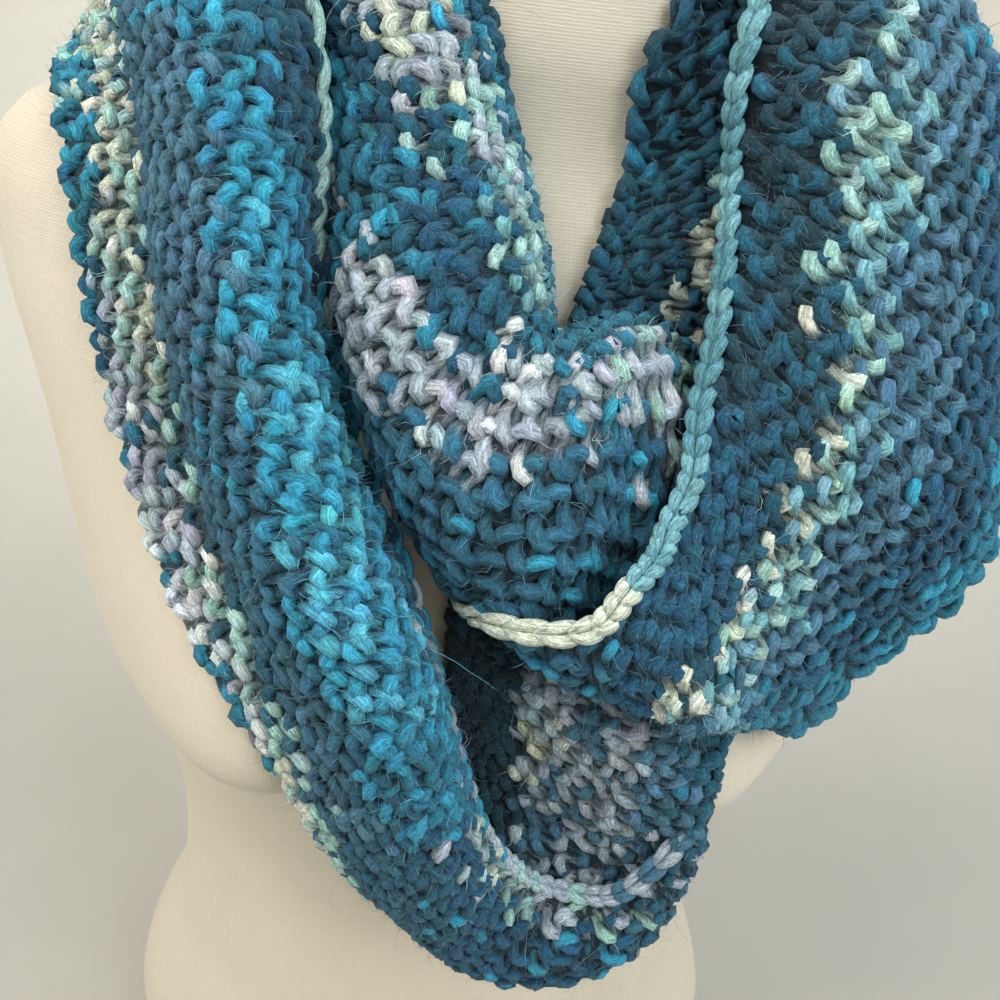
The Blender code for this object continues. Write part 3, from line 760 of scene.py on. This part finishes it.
def add_piece(name, points, quads, triangles, material, dye_and_painted_light, fibre):
    """One smooth mesh with its colour at each point, the dye with the painted shade and highlights
    that the caller put in, and yarn coordinates.
    """
    faces = quads.tolist() + triangles.tolist()
    piece = mesh_object(name, (points.reshape(-1, 3) * MM).tolist(), faces, material)
    colour = piece.data.attributes.new("dye_and_painted_light", "FLOAT_COLOR", "POINT")
    rgba = np.ones((len(piece.data.vertices), 4), np.float32)
    rgba[:, :3] = dye_and_painted_light.reshape(-1, 3)
    colour.data.foreach_set("color", rgba.ravel())
    place = piece.data.attributes.new("fibre", "FLOAT_VECTOR", "POINT")
    place.data.foreach_set("vector", fibre.reshape(-1, 3).astype(np.float32).ravel())
    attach(piece, "root")
    return piece


def rounded(share):
    """1 where a loop turns, at its head or foot, falling to 0 half way up its leg."""
    return np.cos(math.pi * share / 0.5) ** 2 * (np.abs(share) < 0.25)


class Knitting:
    """The yarn's path in every row of the band, with its own uneven tension."""

    def __init__(self, band):
        self.band = band
        self.pitch = band.length / STITCHES
        self.colours = wool_colours(band)
        shape = (ROWS, STITCHES)
        self.rise = RANDOM.normal(0, RISE_SPREAD, shape)
        self.reach = LOOP_REACH * (1 + RANDOM.normal(0, REACH_SPREAD, shape))
        self.slant = LOOP_SLANT + RANDOM.normal(0, SLANT_SPREAD, shape)
        self.depth = LOOP_DEPTH * (1 + RANDOM.normal(0, DEPTH_SPREAD, shape))
        self.sway = LOOP_SWAY * (1 + RANDOM.normal(0, SWAY_SPREAD, shape))
        self.thick = 1 + RANDOM.normal(0, THICK_SPREAD, shape)
        self.offset = RANDOM.uniform(-ROW_DRIFT, ROW_DRIFT, (ROWS, 1))
        self.waves = RANDOM.uniform(0, 2 * math.pi, (3, ROWS, 1))

    def dyed(self, colours, place):
        """Each row's colour along its yarn. It changes half way up a leg, where it hardly shows."""
        shifted = place - 0.25
        whole = np.floor(shifted + 1e-9).astype(int)
        ease = np.clip((shifted - whole) / DYE_CHANGE, 0, 1)[:, None]
        before, now = colours[:, (whole - 1) % STITCHES], colours[:, whole % STITCHES]
        return before * (1 - ease) + now * ease

    def along_row(self, values, place):
        """Per-stitch values at places counted in stitches, eased from one to the next."""
        whole = np.floor(place - 0.5).astype(int)
        share = place - 0.5 - whole
        ease = np.clip((share - 0.5) / 0.5 + 0.5, 0, 1)
        ease = ease * ease * (3 - 2 * ease)
        now, then = values[:, whole % STITCHES], values[:, (whole + 1) % STITCHES]
        return now * (1 - ease) + then * ease

    def paths(self, first, last, samples):
        """Yarn paths of all rows from one stitch to another, with their ups and radii."""
        place = np.linspace(first, last, (last - first) * samples + 1)
        stitch = np.minimum(np.floor(place + 1e-9).astype(int), last - 1)
        share = place - stitch
        turn = 2 * math.pi * share
        rows = np.arange(ROWS)[:, None]
        head = np.where((rows + stitch[None]) % 2 == 0, 1.0, -1.0)
        near_foot = np.round(place).astype(int)
        foot = np.where((rows + near_foot[None]) % 2 == 0, 1.0, -1.0)
        at_head, at_foot = rounded(share - 0.5)[None], rounded(place - near_foot)[None]
        column = stitch % STITCHES
        fade = np.sin(math.pi * np.clip(share, 0, 1)) ** 0.5
        along = (
            (place[None] + self.drift(place)) * self.pitch
            + self.sway[:, column] * self.pitch * np.sin(2 * turn)[None]
        )
        lift = (
            -self.reach[:, column] * ROW_RISE * np.cos(turn)[None]
            + self.slant[:, column] * np.sin(-turn)[None]
            + self.rise[:, column] * fade[None]
        )
        width = self.width(place)
        across = row_middle(rows) + lift / width[None]
        depth = self.depth[:, column] * (head * at_head + foot * at_foot)
        body = LEG_THICK + (TURN_THICK - LEG_THICK) * (at_head + at_foot)
        middle = self.band.points(along, across)
        up = self.band.facing(along, across)
        paths = middle + up * depth[..., None]
        thick = self.along_row(self.thick, place) * body
        return paths, up, thick, place, depth

    def drift(self, place):
        """How far each row slips along the band at these places, in stitches."""
        turn = 2 * math.pi * place / STITCHES
        waves = sum(
            np.sin(count * turn[None] + wave)
            for count, wave in zip((9, 17, 31), self.waves)
        )
        return self.offset + 0.45 * ROW_DRIFT * waves

    def width(self, place):
        """The band's width at places along it, in millimetres."""
        along = place * self.pitch
        across = np.linspace(0, 1, 15)
        points = self.band.points(along[:, None], across[None])
        return np.linalg.norm(np.diff(points, axis=1), axis=-1).sum(axis=1)


def build_knit(knitting, name, first, last, material):
    samples, sides = LOOP_DETAIL[name]
    paths, ups, thick, place, depth = knitting.paths(first, last, samples)
    rings, fibre = tube_rings(
        paths, ups, YARN_WIDE * thick, YARN_HIGH * thick, sides, twist=YARN_TWIST
    )
    fibre[..., 2] += np.arange(ROWS)[:, None, None] * 37.0 + first * 11.0
    dye_and_painted_light = knitting.dyed(knitting.colours, place)
    full = dye_and_painted_light
    dye_and_painted_light = np.repeat(dye_and_painted_light[:, :, None], sides, axis=2)
    # Painted shade: the dye is darkened where the yarn lies deep between the loops
    around = np.sin(np.arange(sides) * 2 * math.pi / sides)
    out = depth[..., None] + around * (YARN_HIGH * thick)[..., None]
    relief = np.clip((np.abs(out) - RELIEF_LOW) / (RELIEF_HIGH - RELIEF_LOW), 0, 1)
    dye_and_painted_light = dye_and_painted_light * (CREVICE_SHADE + (1 - CREVICE_SHADE) * relief)[..., None]
    quads, ends = tube_faces(ROWS, len(place), sides)
    piece = add_piece(f"{name}_knit", rings, quads, ends, material, dye_and_painted_light, fibre)
    return piece, (paths, ups, full)


def build_backing(knitting, material):
    """A thin closed sheet in the middle of the whole band, dark between the loops: it fills the
    gaps, and its colour is painted shade, each row's dye darkened.
    """
    band = knitting.band
    place = np.arange(STITCHES) + 0.5
    along = place * knitting.pitch
    across = np.linspace(0.008, 0.992, BACKING_ACROSS + 1)
    middle = band.points(along[:, None], across[None])
    facing = band.facing(along[:, None], across[None])
    front = middle + facing * BACKING_THICK / 2
    back = middle - facing * BACKING_THICK / 2
    loop = np.concatenate([front, back[:, ::-1]], axis=1)
    size = loop.shape[1]
    low = (np.arange(STITCHES) * size)[:, None]
    high = (np.arange(1, STITCHES + 1) % STITCHES * size)[:, None]
    k = np.arange(size)[None]
    after = (k + 1) % size
    quads = np.stack([low + k, high + k, high + after, low + after], axis=-1).reshape(-1, 4)
    rows = np.clip((across * ROWS).astype(int), 0, ROWS - 1)
    # Painted shade: each row's dye, darkened to the backing's share
    painted_shades = knitting.colours[rows].transpose(1, 0, 2) * BACKING_SHADE
    dye_and_painted_light = np.concatenate([painted_shades, painted_shades[:, ::-1]], axis=1)
    fibre = np.stack(
        [
            np.broadcast_to(along[:, None], loop.shape[:2]),
            np.broadcast_to(np.concatenate([across, across[::-1]]) * 140, loop.shape[:2]),
            np.zeros(loop.shape[:2]),
        ],
        axis=-1,
    )
    return add_piece("scarf_shade_backing", loop, quads, np.zeros((0, 3), int), material, dye_and_painted_light, fibre)


def edge_frame(band, along, edge):
    """The edge's point, its direction along, its facing and its way out of the band."""
    step = 2.0
    point = band.points(along, edge + 0 * along)
    ahead = band.points(along + step, edge + 0 * along)
    behind = band.points(along - step, edge + 0 * along)
    tangent = outward(ahead - behind)
    inside = 0.95 if edge > 0.5 else 0.05
    out = outward(point - band.points(along, inside + 0 * along))
    out = outward(out - tangent * (out * tangent).sum(axis=-1, keepdims=True))
    return point, tangent, band.facing(along, edge + 0 * along), out


def build_chain(knitting, name, first, last, colours, material):
    """The bind-off: overlapping V-shaped links along the upper edge."""
    band, pitch = knitting.band, knitting.pitch
    samples, sides = EDGE_STEPS, EDGE_SIDES
    links = np.arange(first, last)
    share = np.linspace(0, 1, samples)
    paths, ups, wides, dyes = [], [], [], []
    for side in (-1.0, 1.0):
        along = links[:, None] * pitch + (LINK_START + LINK_LENGTH * share[None])
        point, tangent, facing, out = edge_frame(band, along, 1.0)
        face = outward(0.75 * facing + 0.66 * out)
        aside = np.cross(face, tangent)
        spread = 0.45 + 1.5 * np.sin(math.pi / 2 * np.clip(share * 1.5, 0, 1))
        spread = spread - 0.5 * np.clip(share - 0.75, 0, 1) / 0.25
        height = 0.9 + 1.3 * np.sin(math.pi * np.clip(share * 1.25, 0, 1)) - 1.0 * share**2
        path = (
            point
            + out * 0.2
            + aside * (side * spread)[None, :, None]
            + face * height[None, :, None]
        )
        paths.append(path)
        ups.append(face)
        wide = np.interp(share, LINK_PLACES, LINK_WIDTHS)
        wides.append(np.repeat(wide[None], len(links), 0))
        dyes.append(np.repeat(colours[links % STITCHES][:, None], samples, 1))
    paths, ups = np.concatenate(paths), np.concatenate(ups)
    wide, dye_and_painted_light = np.concatenate(wides), np.concatenate(dyes)
    rings, fibre = tube_rings(paths, ups, wide, wide * 0.9, sides, twist=0.12)
    fibre[..., 2] += (np.arange(len(paths)) * 7.3)[:, None, None]
    quads, ends = tube_faces(len(paths), samples, sides)
    dye_and_painted_light = np.repeat(dye_and_painted_light[:, :, None], sides, axis=2)
    return add_piece(f"{name}_chain", rings, quads, ends, material, dye_and_painted_light, fibre)


def build_edge(knitting, name, first, last, material):
    """The cast-on: one strand wound along the lower edge, a bead for each stitch."""
    band, pitch = knitting.band, knitting.pitch
    samples, sides = EDGE_STEPS, EDGE_SIDES
    place = np.linspace(first, last, (last - first) * samples + 1)
    along = place * pitch
    point, _, facing, out = edge_frame(band, along, 0.0)
    turn = 2 * math.pi * place
    path = (
        point
        + out * (BEAD_RADIUS * np.cos(turn) - BEAD_INSET)[:, None]
        + facing * (BEAD_RADIUS * 1.15 * np.sin(turn))[:, None]
    )
    wide = BEAD_YARN * (1 + 0.12 * np.cos(turn))
    dye_and_painted_light = knitting.dyed(knitting.colours[:1], place)
    rings, fibre = tube_rings(
        path[None], facing[None], wide[None], wide[None] * 0.95, sides, twist=0.1
    )
    quads, ends = tube_faces(1, len(place), sides)
    dye_and_painted_light = np.repeat(dye_and_painted_light[:, :, None], sides, axis=2)
    return add_piece(f"{name}_edge", rings, quads, ends, material, dye_and_painted_light, fibre)


def hair_tubes(points, radius):
    """Three-sided hairs that taper to a point: their points and faces."""
    count, samples = points.shape[:2]
    tangent = outward(np.gradient(points, axis=1))
    helper = np.where(np.abs(tangent[..., 2:3]) < 0.8, [[[0, 0, 1.0]]], [[[1.0, 0, 0]]])
    across = outward(np.cross(tangent, helper))
    up = np.cross(across, tangent)
    angle = np.arange(3) * 2 * math.pi / 3
    taper = np.linspace(1, 0.55, samples - 1)
    size = radius[:, None, None, None] * taper[None, :, None, None]
    body = points[:, :-1, None] + size * (
        across[:, :-1, None] * np.cos(angle)[None, None, :, None]
        + up[:, :-1, None] * np.sin(angle)[None, None, :, None]
    )
    verts = np.concatenate([body.reshape(count, -1, 3), points[:, -1:]], axis=1)
    per = verts.shape[1]
    starts = np.arange(count) * per
    quads, tris = [], []
    for ring in range(samples - 2):
        for k in range(3):
            a, b = ring * 3 + k, ring * 3 + (k + 1) % 3
            quads.append(np.stack([starts + a, starts + b, starts + b + 3, starts + a + 3], 1))
    last = (samples - 2) * 3
    for k in range(3):
        tris.append(
            np.stack([starts + last + k, starts + last + (k + 1) % 3, starts + per - 1], 1)
        )
    tris.append(np.stack([starts + 2, starts + 1, starts], 1))
    return verts, np.concatenate(quads), np.concatenate(tris)


def hair_blades(points, radius):
    """Flat fine hairs of three points each: their points and faces."""
    tangent = outward(points[:, 2] - points[:, 0])
    side = RANDOM.normal(0, 1, tangent.shape)
    side = outward(side - tangent * (side * tangent).sum(axis=1, keepdims=True))
    half = radius[:, None] * side
    verts = np.stack(
        [
            points[:, 0] - half,
            points[:, 0] + half,
            points[:, 1] + half * 0.8,
            points[:, 1] - half * 0.8,
            points[:, 2],
        ],
        axis=1,
    )
    starts = np.arange(len(points)) * 5
    quads = np.stack([starts, starts + 1, starts + 2, starts + 3], axis=1)
    tips = np.stack([starts + 3, starts + 2, starts + 4], axis=1)
    return verts, quads, tips


def build_fuzz(name, strands, count, long_count, material):
    """The yarn's halo: short fine hairs all over, and a few long stray ones."""
    paths, ups, full = strands
    made = []
    for kind, number in (("short", count), ("stray", long_count)):
        row = RANDOM.integers(0, paths.shape[0], number)
        at = RANDOM.integers(1, paths.shape[1] - 1, number)
        centre = paths[row, at]
        along = outward(paths[row, at + 1] - paths[row, at - 1])
        up = ups[row, at]
        across = outward(np.cross(along, up))
        angle = RANDOM.uniform(0, 2 * math.pi, number)
        radial = across * np.cos(angle)[:, None] + up * np.sin(angle)[:, None]
        base = centre + radial * HAIR_FOOT
        if kind == "short":
            length = RANDOM.uniform(*SHORT_LENGTH, number)
            radius = RANDOM.uniform(*SHORT_RADIUS, number)
            start = outward(radial * 0.8 + along * RANDOM.normal(0, 0.8, (number, 1))
                            + RANDOM.normal(0, 0.25, (number, 3)))
            bend = outward(start + along * RANDOM.normal(0, 0.7, (number, 1))
                           + RANDOM.normal(0, 0.5, (number, 3)))
            middle = base + start * length[:, None] * 0.5
            points = np.stack([base, middle, middle + bend * length[:, None] * 0.5], axis=1)
        else:
            length = RANDOM.uniform(*STRAY_LENGTH, number)
            radius = RANDOM.uniform(*STRAY_RADIUS, number)
            heading = outward(radial * 0.7 + RANDOM.normal(0, 0.5, (number, 3)))
            curl = RANDOM.normal(0, 0.28, (number, 3))
            points = [base]
            for _ in range(STRAY_STEPS - 1):
                points.append(points[-1] + heading * (length / (STRAY_STEPS - 1))[:, None])
                heading = outward(heading + np.cross(curl, heading)
                                  + RANDOM.normal(0, 0.10, (number, 3)))
            points = np.stack(points, axis=1)
        level = form_level(points.reshape(-1, 3)).reshape(points.shape[:2])
        inside = level.min(axis=1) < HAIR_FORM_LEVEL
        low, high = (np.array(corner) / MM for corner in cad_box)
        far = (points < low - HAIR_BEYOND) | (points > high + HAIR_BEYOND)
        kept = ~(inside | far.any(axis=(1, 2)))
        points, radius, row, at = (v[kept] for v in (points, radius, row, at))
        # Painted highlight: the hair's colour is its yarn's dye mixed towards a pale colour
        shade = full[row, at] * (1 - HAIR_HIGHLIGHT_SHARE) + HAIR_HIGHLIGHT_SHARE * np.array(HAIR_HIGHLIGHT_COLOUR)
        make = hair_blades if kind == "short" else hair_tubes
        verts, quads, tris = make(points, radius)
        per = verts.shape[1]
        colour = np.repeat(shade[:, None], per, axis=1)
        fibre = np.zeros((len(verts), per, 3))
        fibre[..., 2] = np.arange(len(verts))[:, None]
        made.append(
            add_piece(f"{name}_{kind}_fibres", verts, quads, tris, material, colour, fibre)
        )
    return made


def new_material(name):
    material = bpy.data.materials.new(name)
    material.use_nodes = True
    tree = material.node_tree
    return material, tree, tree.nodes["Principled BSDF"]


def feed(tree, node, inputs):
    """Each named or numbered input, linked to a socket or set to a plain value."""
    for key, value in inputs.items():
        if isinstance(value, (int, float, tuple)):
            node.inputs[key].default_value = value
        else:
            tree.links.new(value, node.inputs[key])


def add_node(tree, kind, inputs=None, **settings):
    node = tree.nodes.new(kind)
    for key, value in settings.items():
        setattr(node, key, value)
    feed(tree, node, inputs or {})
    return node


def maths(tree, operation, *values):
    return add_node(
        tree, "ShaderNodeMath", dict(enumerate(values)), operation=operation
    ).outputs["Value"]


def noise(tree, vector, scale, **inputs):
    inputs = {"Vector": vector, "Scale": scale, **inputs}
    return add_node(tree, "ShaderNodeTexNoise", inputs).outputs["Fac"]


def stretched(tree, vector, scale):
    inputs = {"Vector": vector, "Scale": scale}
    return add_node(tree, "ShaderNodeMapping", inputs).outputs["Vector"]


def bumped(tree, height, strength, distance):
    inputs = {"Height": height, "Strength": strength, "Distance": distance}
    return add_node(tree, "ShaderNodeBump", inputs).outputs["Normal"]


def ranged(tree, value, low, high, new_low, new_high):
    """The value carried from one range to another, held inside it."""
    inputs = {"Value": value, "From Min": low, "From Max": high,
              "To Min": new_low, "To Max": new_high}
    return add_node(tree, "ShaderNodeMapRange", inputs).outputs["Result"]


def mixed(tree, mode, factor, first, second):
    """Two colours mixed. The mix node's colour inputs have the numbers 6 and 7."""
    inputs = {0: factor, 6: first, 7: second}
    return add_node(
        tree, "ShaderNodeMix", inputs, data_type="RGBA", blend_type=mode
    ).outputs[2]


def shaded(tree, colour, shade):
    """The colour times one grey value."""
    grey = add_node(tree, "ShaderNodeCombineColor", {0: shade, 1: shade, 2: shade})
    return mixed(tree, "MULTIPLY", 1.0, colour, grey.outputs["Color"])


def wool_material(name, bump, darkest, lightest, curl):
    """Soft dyed wool: its dye with painted shade and highlights from the mesh, fibres along the
    yarn and thin curled hairs drawn lighter as painted highlights.
    """
    material, tree, shader = new_material(name)
    dye_and_painted_light = add_node(tree, "ShaderNodeAttribute", attribute_name="dye_and_painted_light").outputs["Color"]
    fibre = add_node(tree, "ShaderNodeAttribute", attribute_name="fibre").outputs["Vector"]
    along_yarn = stretched(tree, fibre, (1.0, 1.0, 0.16))
    strands = noise(tree, along_yarn, 1.7, Detail=4.0, Roughness=0.62)
    wisps = noise(tree, along_yarn, 3.6, Detail=2.0)
    body = shaded(tree, dye_and_painted_light, ranged(tree, strands, 0.3, 0.7, darkest, lightest))
    pale = mixed(tree, "ADD", 1.0, body, (0.03, 0.055, 0.07, 1.0))
    colour = mixed(tree, "MIX", ranged(tree, wisps, 0.52, 0.72, 0.0, curl), body, pale)
    # Painted highlight: thin curled hair lines, drawn as a lighter copy of the wool's colour
    space = add_node(tree, "ShaderNodeTexCoord").outputs["Object"]
    curls = noise(tree, space, 620.0, Detail=1.5, Distortion=1.2)
    line = maths(tree, "ABSOLUTE", maths(tree, "SUBTRACT", curls, 0.5))
    hair = ranged(tree, line, 0.0, 0.07, curl, 0.0)
    brighter = mixed(tree, "MULTIPLY", 1.0, colour, (1.5, 1.5, 1.5, 1.0))
    lit = mixed(tree, "ADD", 1.0, brighter, (0.02, 0.035, 0.04, 1.0))
    feed(tree, shader, {
        "Base Color": mixed(tree, "MIX", hair, colour, lit),
        "Roughness": ranged(tree, strands, 0.3, 0.7, 0.92, 0.74),
        "Sheen Weight": 0.16,
        "Sheen Roughness": 0.6,
        "Sheen Tint": (0.55, 0.85, 1.0, 1.0),
        "Specular IOR Level": 0.18,
    })
    if bump:
        feed(tree, shader, {"Normal": bumped(tree, strands, bump, 0.0007)})
    return material


def form_rings():
    """Rings of points over the whole form, from its base to its top, with rounded rims."""
    low, high = FORM_SECTIONS[0][0], FORM_SECTIONS[-1][0]
    bend = np.linspace(0, math.pi / 2, RIM_STEPS)
    below = low + FORM_RIM * (1 - np.cos(bend))
    above = high - FORM_RIM * (1 - np.cos(bend))
    heights = np.concatenate([below, np.linspace(below[-1], above[-1], FORM_LEVELS)[1:-1],
                              above[::-1]])
    inset = np.zeros(len(heights))
    inset[:RIM_STEPS] = FORM_RIM * (1 - np.sin(bend))
    inset[-RIM_STEPS:] = inset[:RIM_STEPS][::-1]
    half_width, front, back = ((width - inset)[:, None] for width in form_widths(heights))
    angle = (np.arange(FORM_ROUND) * 2 * math.pi / FORM_ROUND)[None]
    power = 2 / FORM_ROUNDNESS
    x = half_width * np.sign(np.cos(angle)) * np.abs(np.cos(angle)) ** power
    z = np.broadcast_to(heights[:, None], x.shape)
    sine = np.sin(angle)
    depth = np.where(sine < 0, front + bust_depth(x, z), back)
    return np.stack([x, depth * np.sign(sine) * np.abs(sine) ** power, z], axis=-1)


def build_form(material):
    """The form's linen cover: the CAD form's own shape, in finer steps."""
    rings = form_rings()
    count = len(rings)
    quads = []
    for level in range(count - 1):
        for k in range(FORM_ROUND):
            after = (k + 1) % FORM_ROUND
            low, high = level * FORM_ROUND, (level + 1) * FORM_ROUND
            quads.append((low + k, low + after, high + after, high + k))
    base = tuple(reversed(range(FORM_ROUND)))
    top = tuple((count - 1) * FORM_ROUND + k for k in range(FORM_ROUND))
    points = (rings.reshape(-1, 3) * MM).tolist()
    cover = mesh_object("form_cover", points, [*quads, base, top], material)
    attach(cover, "root")
    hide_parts("dress_form")


def linen_material():
    """Cream linen over padding: fine weave, slubs and faint unevenness."""
    material, tree, shader = new_material("linen_cloth")
    place = add_node(tree, "ShaderNodeTexCoord").outputs["Object"]
    split = add_node(tree, "ShaderNodeSeparateXYZ", {"Vector": place}).outputs
    turn = maths(tree, "ARCTAN2", split["Y"], split["X"])
    round_form = maths(tree, "MULTIPLY", turn, 0.15)
    flat = add_node(
        tree, "ShaderNodeCombineXYZ", {"X": round_form, "Y": split["Z"]}
    ).outputs["Vector"]
    threads = [
        add_node(
            tree,
            "ShaderNodeTexWave",
            {"Vector": flat, "Scale": 330.0, "Distortion": 2.2, "Detail": 2.0,
             "Detail Scale": 0.9},
            wave_type="BANDS",
            bands_direction=direction,
        ).outputs["Fac"]
        for direction in ("X", "Y")
    ]
    weave = maths(tree, "MAXIMUM", *threads)
    slubs = []
    for scale in ((60.0, 900.0, 1.0), (900.0, 60.0, 1.0)):
        thick = noise(tree, stretched(tree, flat, scale), 1.0, Detail=2.0)
        slubs.append(ranged(tree, thick, 0.35, 0.75, 0.0, 1.0))
    slub = maths(tree, "MAXIMUM", *slubs)
    clouded = ranged(tree, noise(tree, place, 9.0, Detail=3.0), 0.3, 0.7, 0.0, 1.0)
    ground = mixed(
        tree, "MIX", clouded, (0.70, 0.63, 0.50, 1.0), (0.78, 0.71, 0.58, 1.0)
    )
    ground = shaded(tree, ground, ranged(tree, weave, 0.0, 1.0, 0.86, 1.0))
    ground = shaded(tree, ground, ranged(tree, slub, 0.0, 1.0, 0.97, 1.06))
    feed(tree, shader, {
        "Base Color": ground,
        "Roughness": ranged(tree, slub, 0.0, 1.0, 0.92, 0.8),
        "Sheen Weight": 0.15,
        "Normal": bumped(tree, maths(tree, "ADD", weave, slub), 0.35, 0.0003),
    })
    return material


def plain_material(name, colour, roughness):
    """A quiet pale surface with a faint grain."""
    material, tree, shader = new_material(name)
    speckle = add_node(tree, "ShaderNodeTexNoise", {"Scale": 60.0}).outputs["Fac"]
    grain = ranged(tree, speckle, 0.3, 0.7, 0.0, 1.0)
    darker = tuple(channel * 0.97 for channel in colour[:3]) + (1.0,)
    feed(tree, shader, {"Base Color": mixed(tree, "MIX", grain, colour, darker),
                        "Roughness": roughness})
    return material


def build_studio():
    """A round pale floor whose rim curves up all round, and four soft lights."""
    profile = [(FLOOR_FLAT - FLOOR_RING, 0.0), (FLOOR_FLAT, 0.0)]
    profile += [
        (FLOOR_FLAT + FLOOR_CURVE * math.sin(a), FLOOR_CURVE * (1 - math.cos(a)))
        for a in np.linspace(0, math.pi / 2, FLOOR_STEPS)[1:]
    ]
    profile.append((FLOOR_FLAT + FLOOR_CURVE, FLOOR_WALL))
    points = [
        (radius * math.cos(turn), radius * math.sin(turn), height - FLOOR_BELOW)
        for radius, height in profile
        for turn in np.arange(FLOOR_ROUND) * 2 * math.pi / FLOOR_ROUND
    ]
    faces = [tuple(range(FLOOR_ROUND))]
    for ring in range(len(profile) - 1):
        for k in range(FLOOR_ROUND):
            low, after = ring * FLOOR_ROUND, (k + 1) % FLOOR_ROUND
            faces.append((low + k, low + FLOOR_ROUND + k, low + FLOOR_ROUND + after, low + after))
    backdrop = plain_material("pale_backdrop", (0.50, 0.488, 0.445, 1.0), 0.9)
    mesh_object("studio_floor", points, faces, backdrop)
    world = bpy.data.worlds.new("studio_world")
    world.use_nodes = True
    background = world.node_tree.nodes["Background"]
    background.inputs["Color"].default_value = (0.97, 0.97, 0.94, 1)
    background.inputs["Strength"].default_value = 0.54
    bpy.context.scene.world = world
    for name, place, target, size, power, colour in LIGHTS:
        data = bpy.data.lights.new(name, "AREA")
        data.size = size
        data.energy = power
        data.color = colour
        lamp = bpy.data.objects.new(name, data)
        lamp.location = place
        aim = Vector(target) - lamp.location
        lamp.rotation_euler = aim.to_track_quat("-Z", "Y").to_euler()
        bpy.context.scene.collection.objects.link(lamp)


def build_camera():
    azimuth, elevation, roll = (
        math.radians(a) for a in (CAMERA_AZIMUTH, CAMERA_ELEVATION, CAMERA_ROLL)
    )
    back = np.array(
        [
            math.sin(azimuth) * math.cos(elevation),
            -math.cos(azimuth) * math.cos(elevation),
            math.sin(elevation),
        ]
    )
    right = outward(np.cross(-back, [0, 0, 1]))
    up = np.cross(right, -back)
    turned_right = right * math.cos(roll) + up * math.sin(roll)
    turned_up = up * math.cos(roll) - right * math.sin(roll)
    data = bpy.data.cameras.new("photo_camera")
    data.lens = 36.0
    data.sensor_width = 36.0
    data.clip_start = 0.01
    camera = bpy.data.objects.new("photo_camera", data)
    columns = np.stack([turned_right, turned_up, back], axis=1)
    matrix = np.eye(4)
    matrix[:3, :3] = columns
    matrix[:3, 3] = CAMERA_PLACE
    camera.matrix_world = Matrix(matrix.tolist())
    bpy.context.scene.collection.objects.link(camera)
    bpy.context.scene.camera = camera


# Hair counts for each stretch: short hairs and long stray ones
SHORT_HAIRS = {"left_fall": 17500, "lower_turn": 12500, "right_rise": 5500,
               "nape_inner": 2500, "inner_drape": 14000, "right_fall": 19000,
               "nape_outer": 12500}
STRAY_HAIRS = {"left_fall": 60, "lower_turn": 60, "right_rise": 10, "nape_inner": 6,
               "inner_drape": 60, "right_fall": 60, "nape_outer": 30}


def build_scarf(band):
    knitting = Knitting(band)
    links = chain_colours(band)
    yarn = wool_material("self_striping_wool", 1.0, 0.30, 1.42, 0.8)
    shaded_backing_wool = wool_material("painted_shade_between_loops", 0.6, 0.6, 1.2, 0.0)
    halo = wool_material("wool_fibres", 0.0, 0.8, 1.3, 0.0)
    for name in STRETCHES:
        start, end = band.limits[name]
        first, last = round(start / knitting.pitch), round(end / knitting.pitch)
        knit, strands = build_knit(knitting, name, first, last, yarn)
        chain = build_chain(knitting, name, first, last, links, yarn)
        edge = build_edge(knitting, name, first, last, yarn)
        hairs = build_fuzz(name, strands, SHORT_HAIRS[name], STRAY_HAIRS[name], halo)
    backing = build_backing(knitting, shaded_backing_wool)
    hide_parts(*STRETCHES)


bpy.context.scene.view_settings.view_transform = "Standard"
build_camera()
build_studio()
build_form(linen_material())
build_scarf(Band())
bpy.context.view_layer.update()
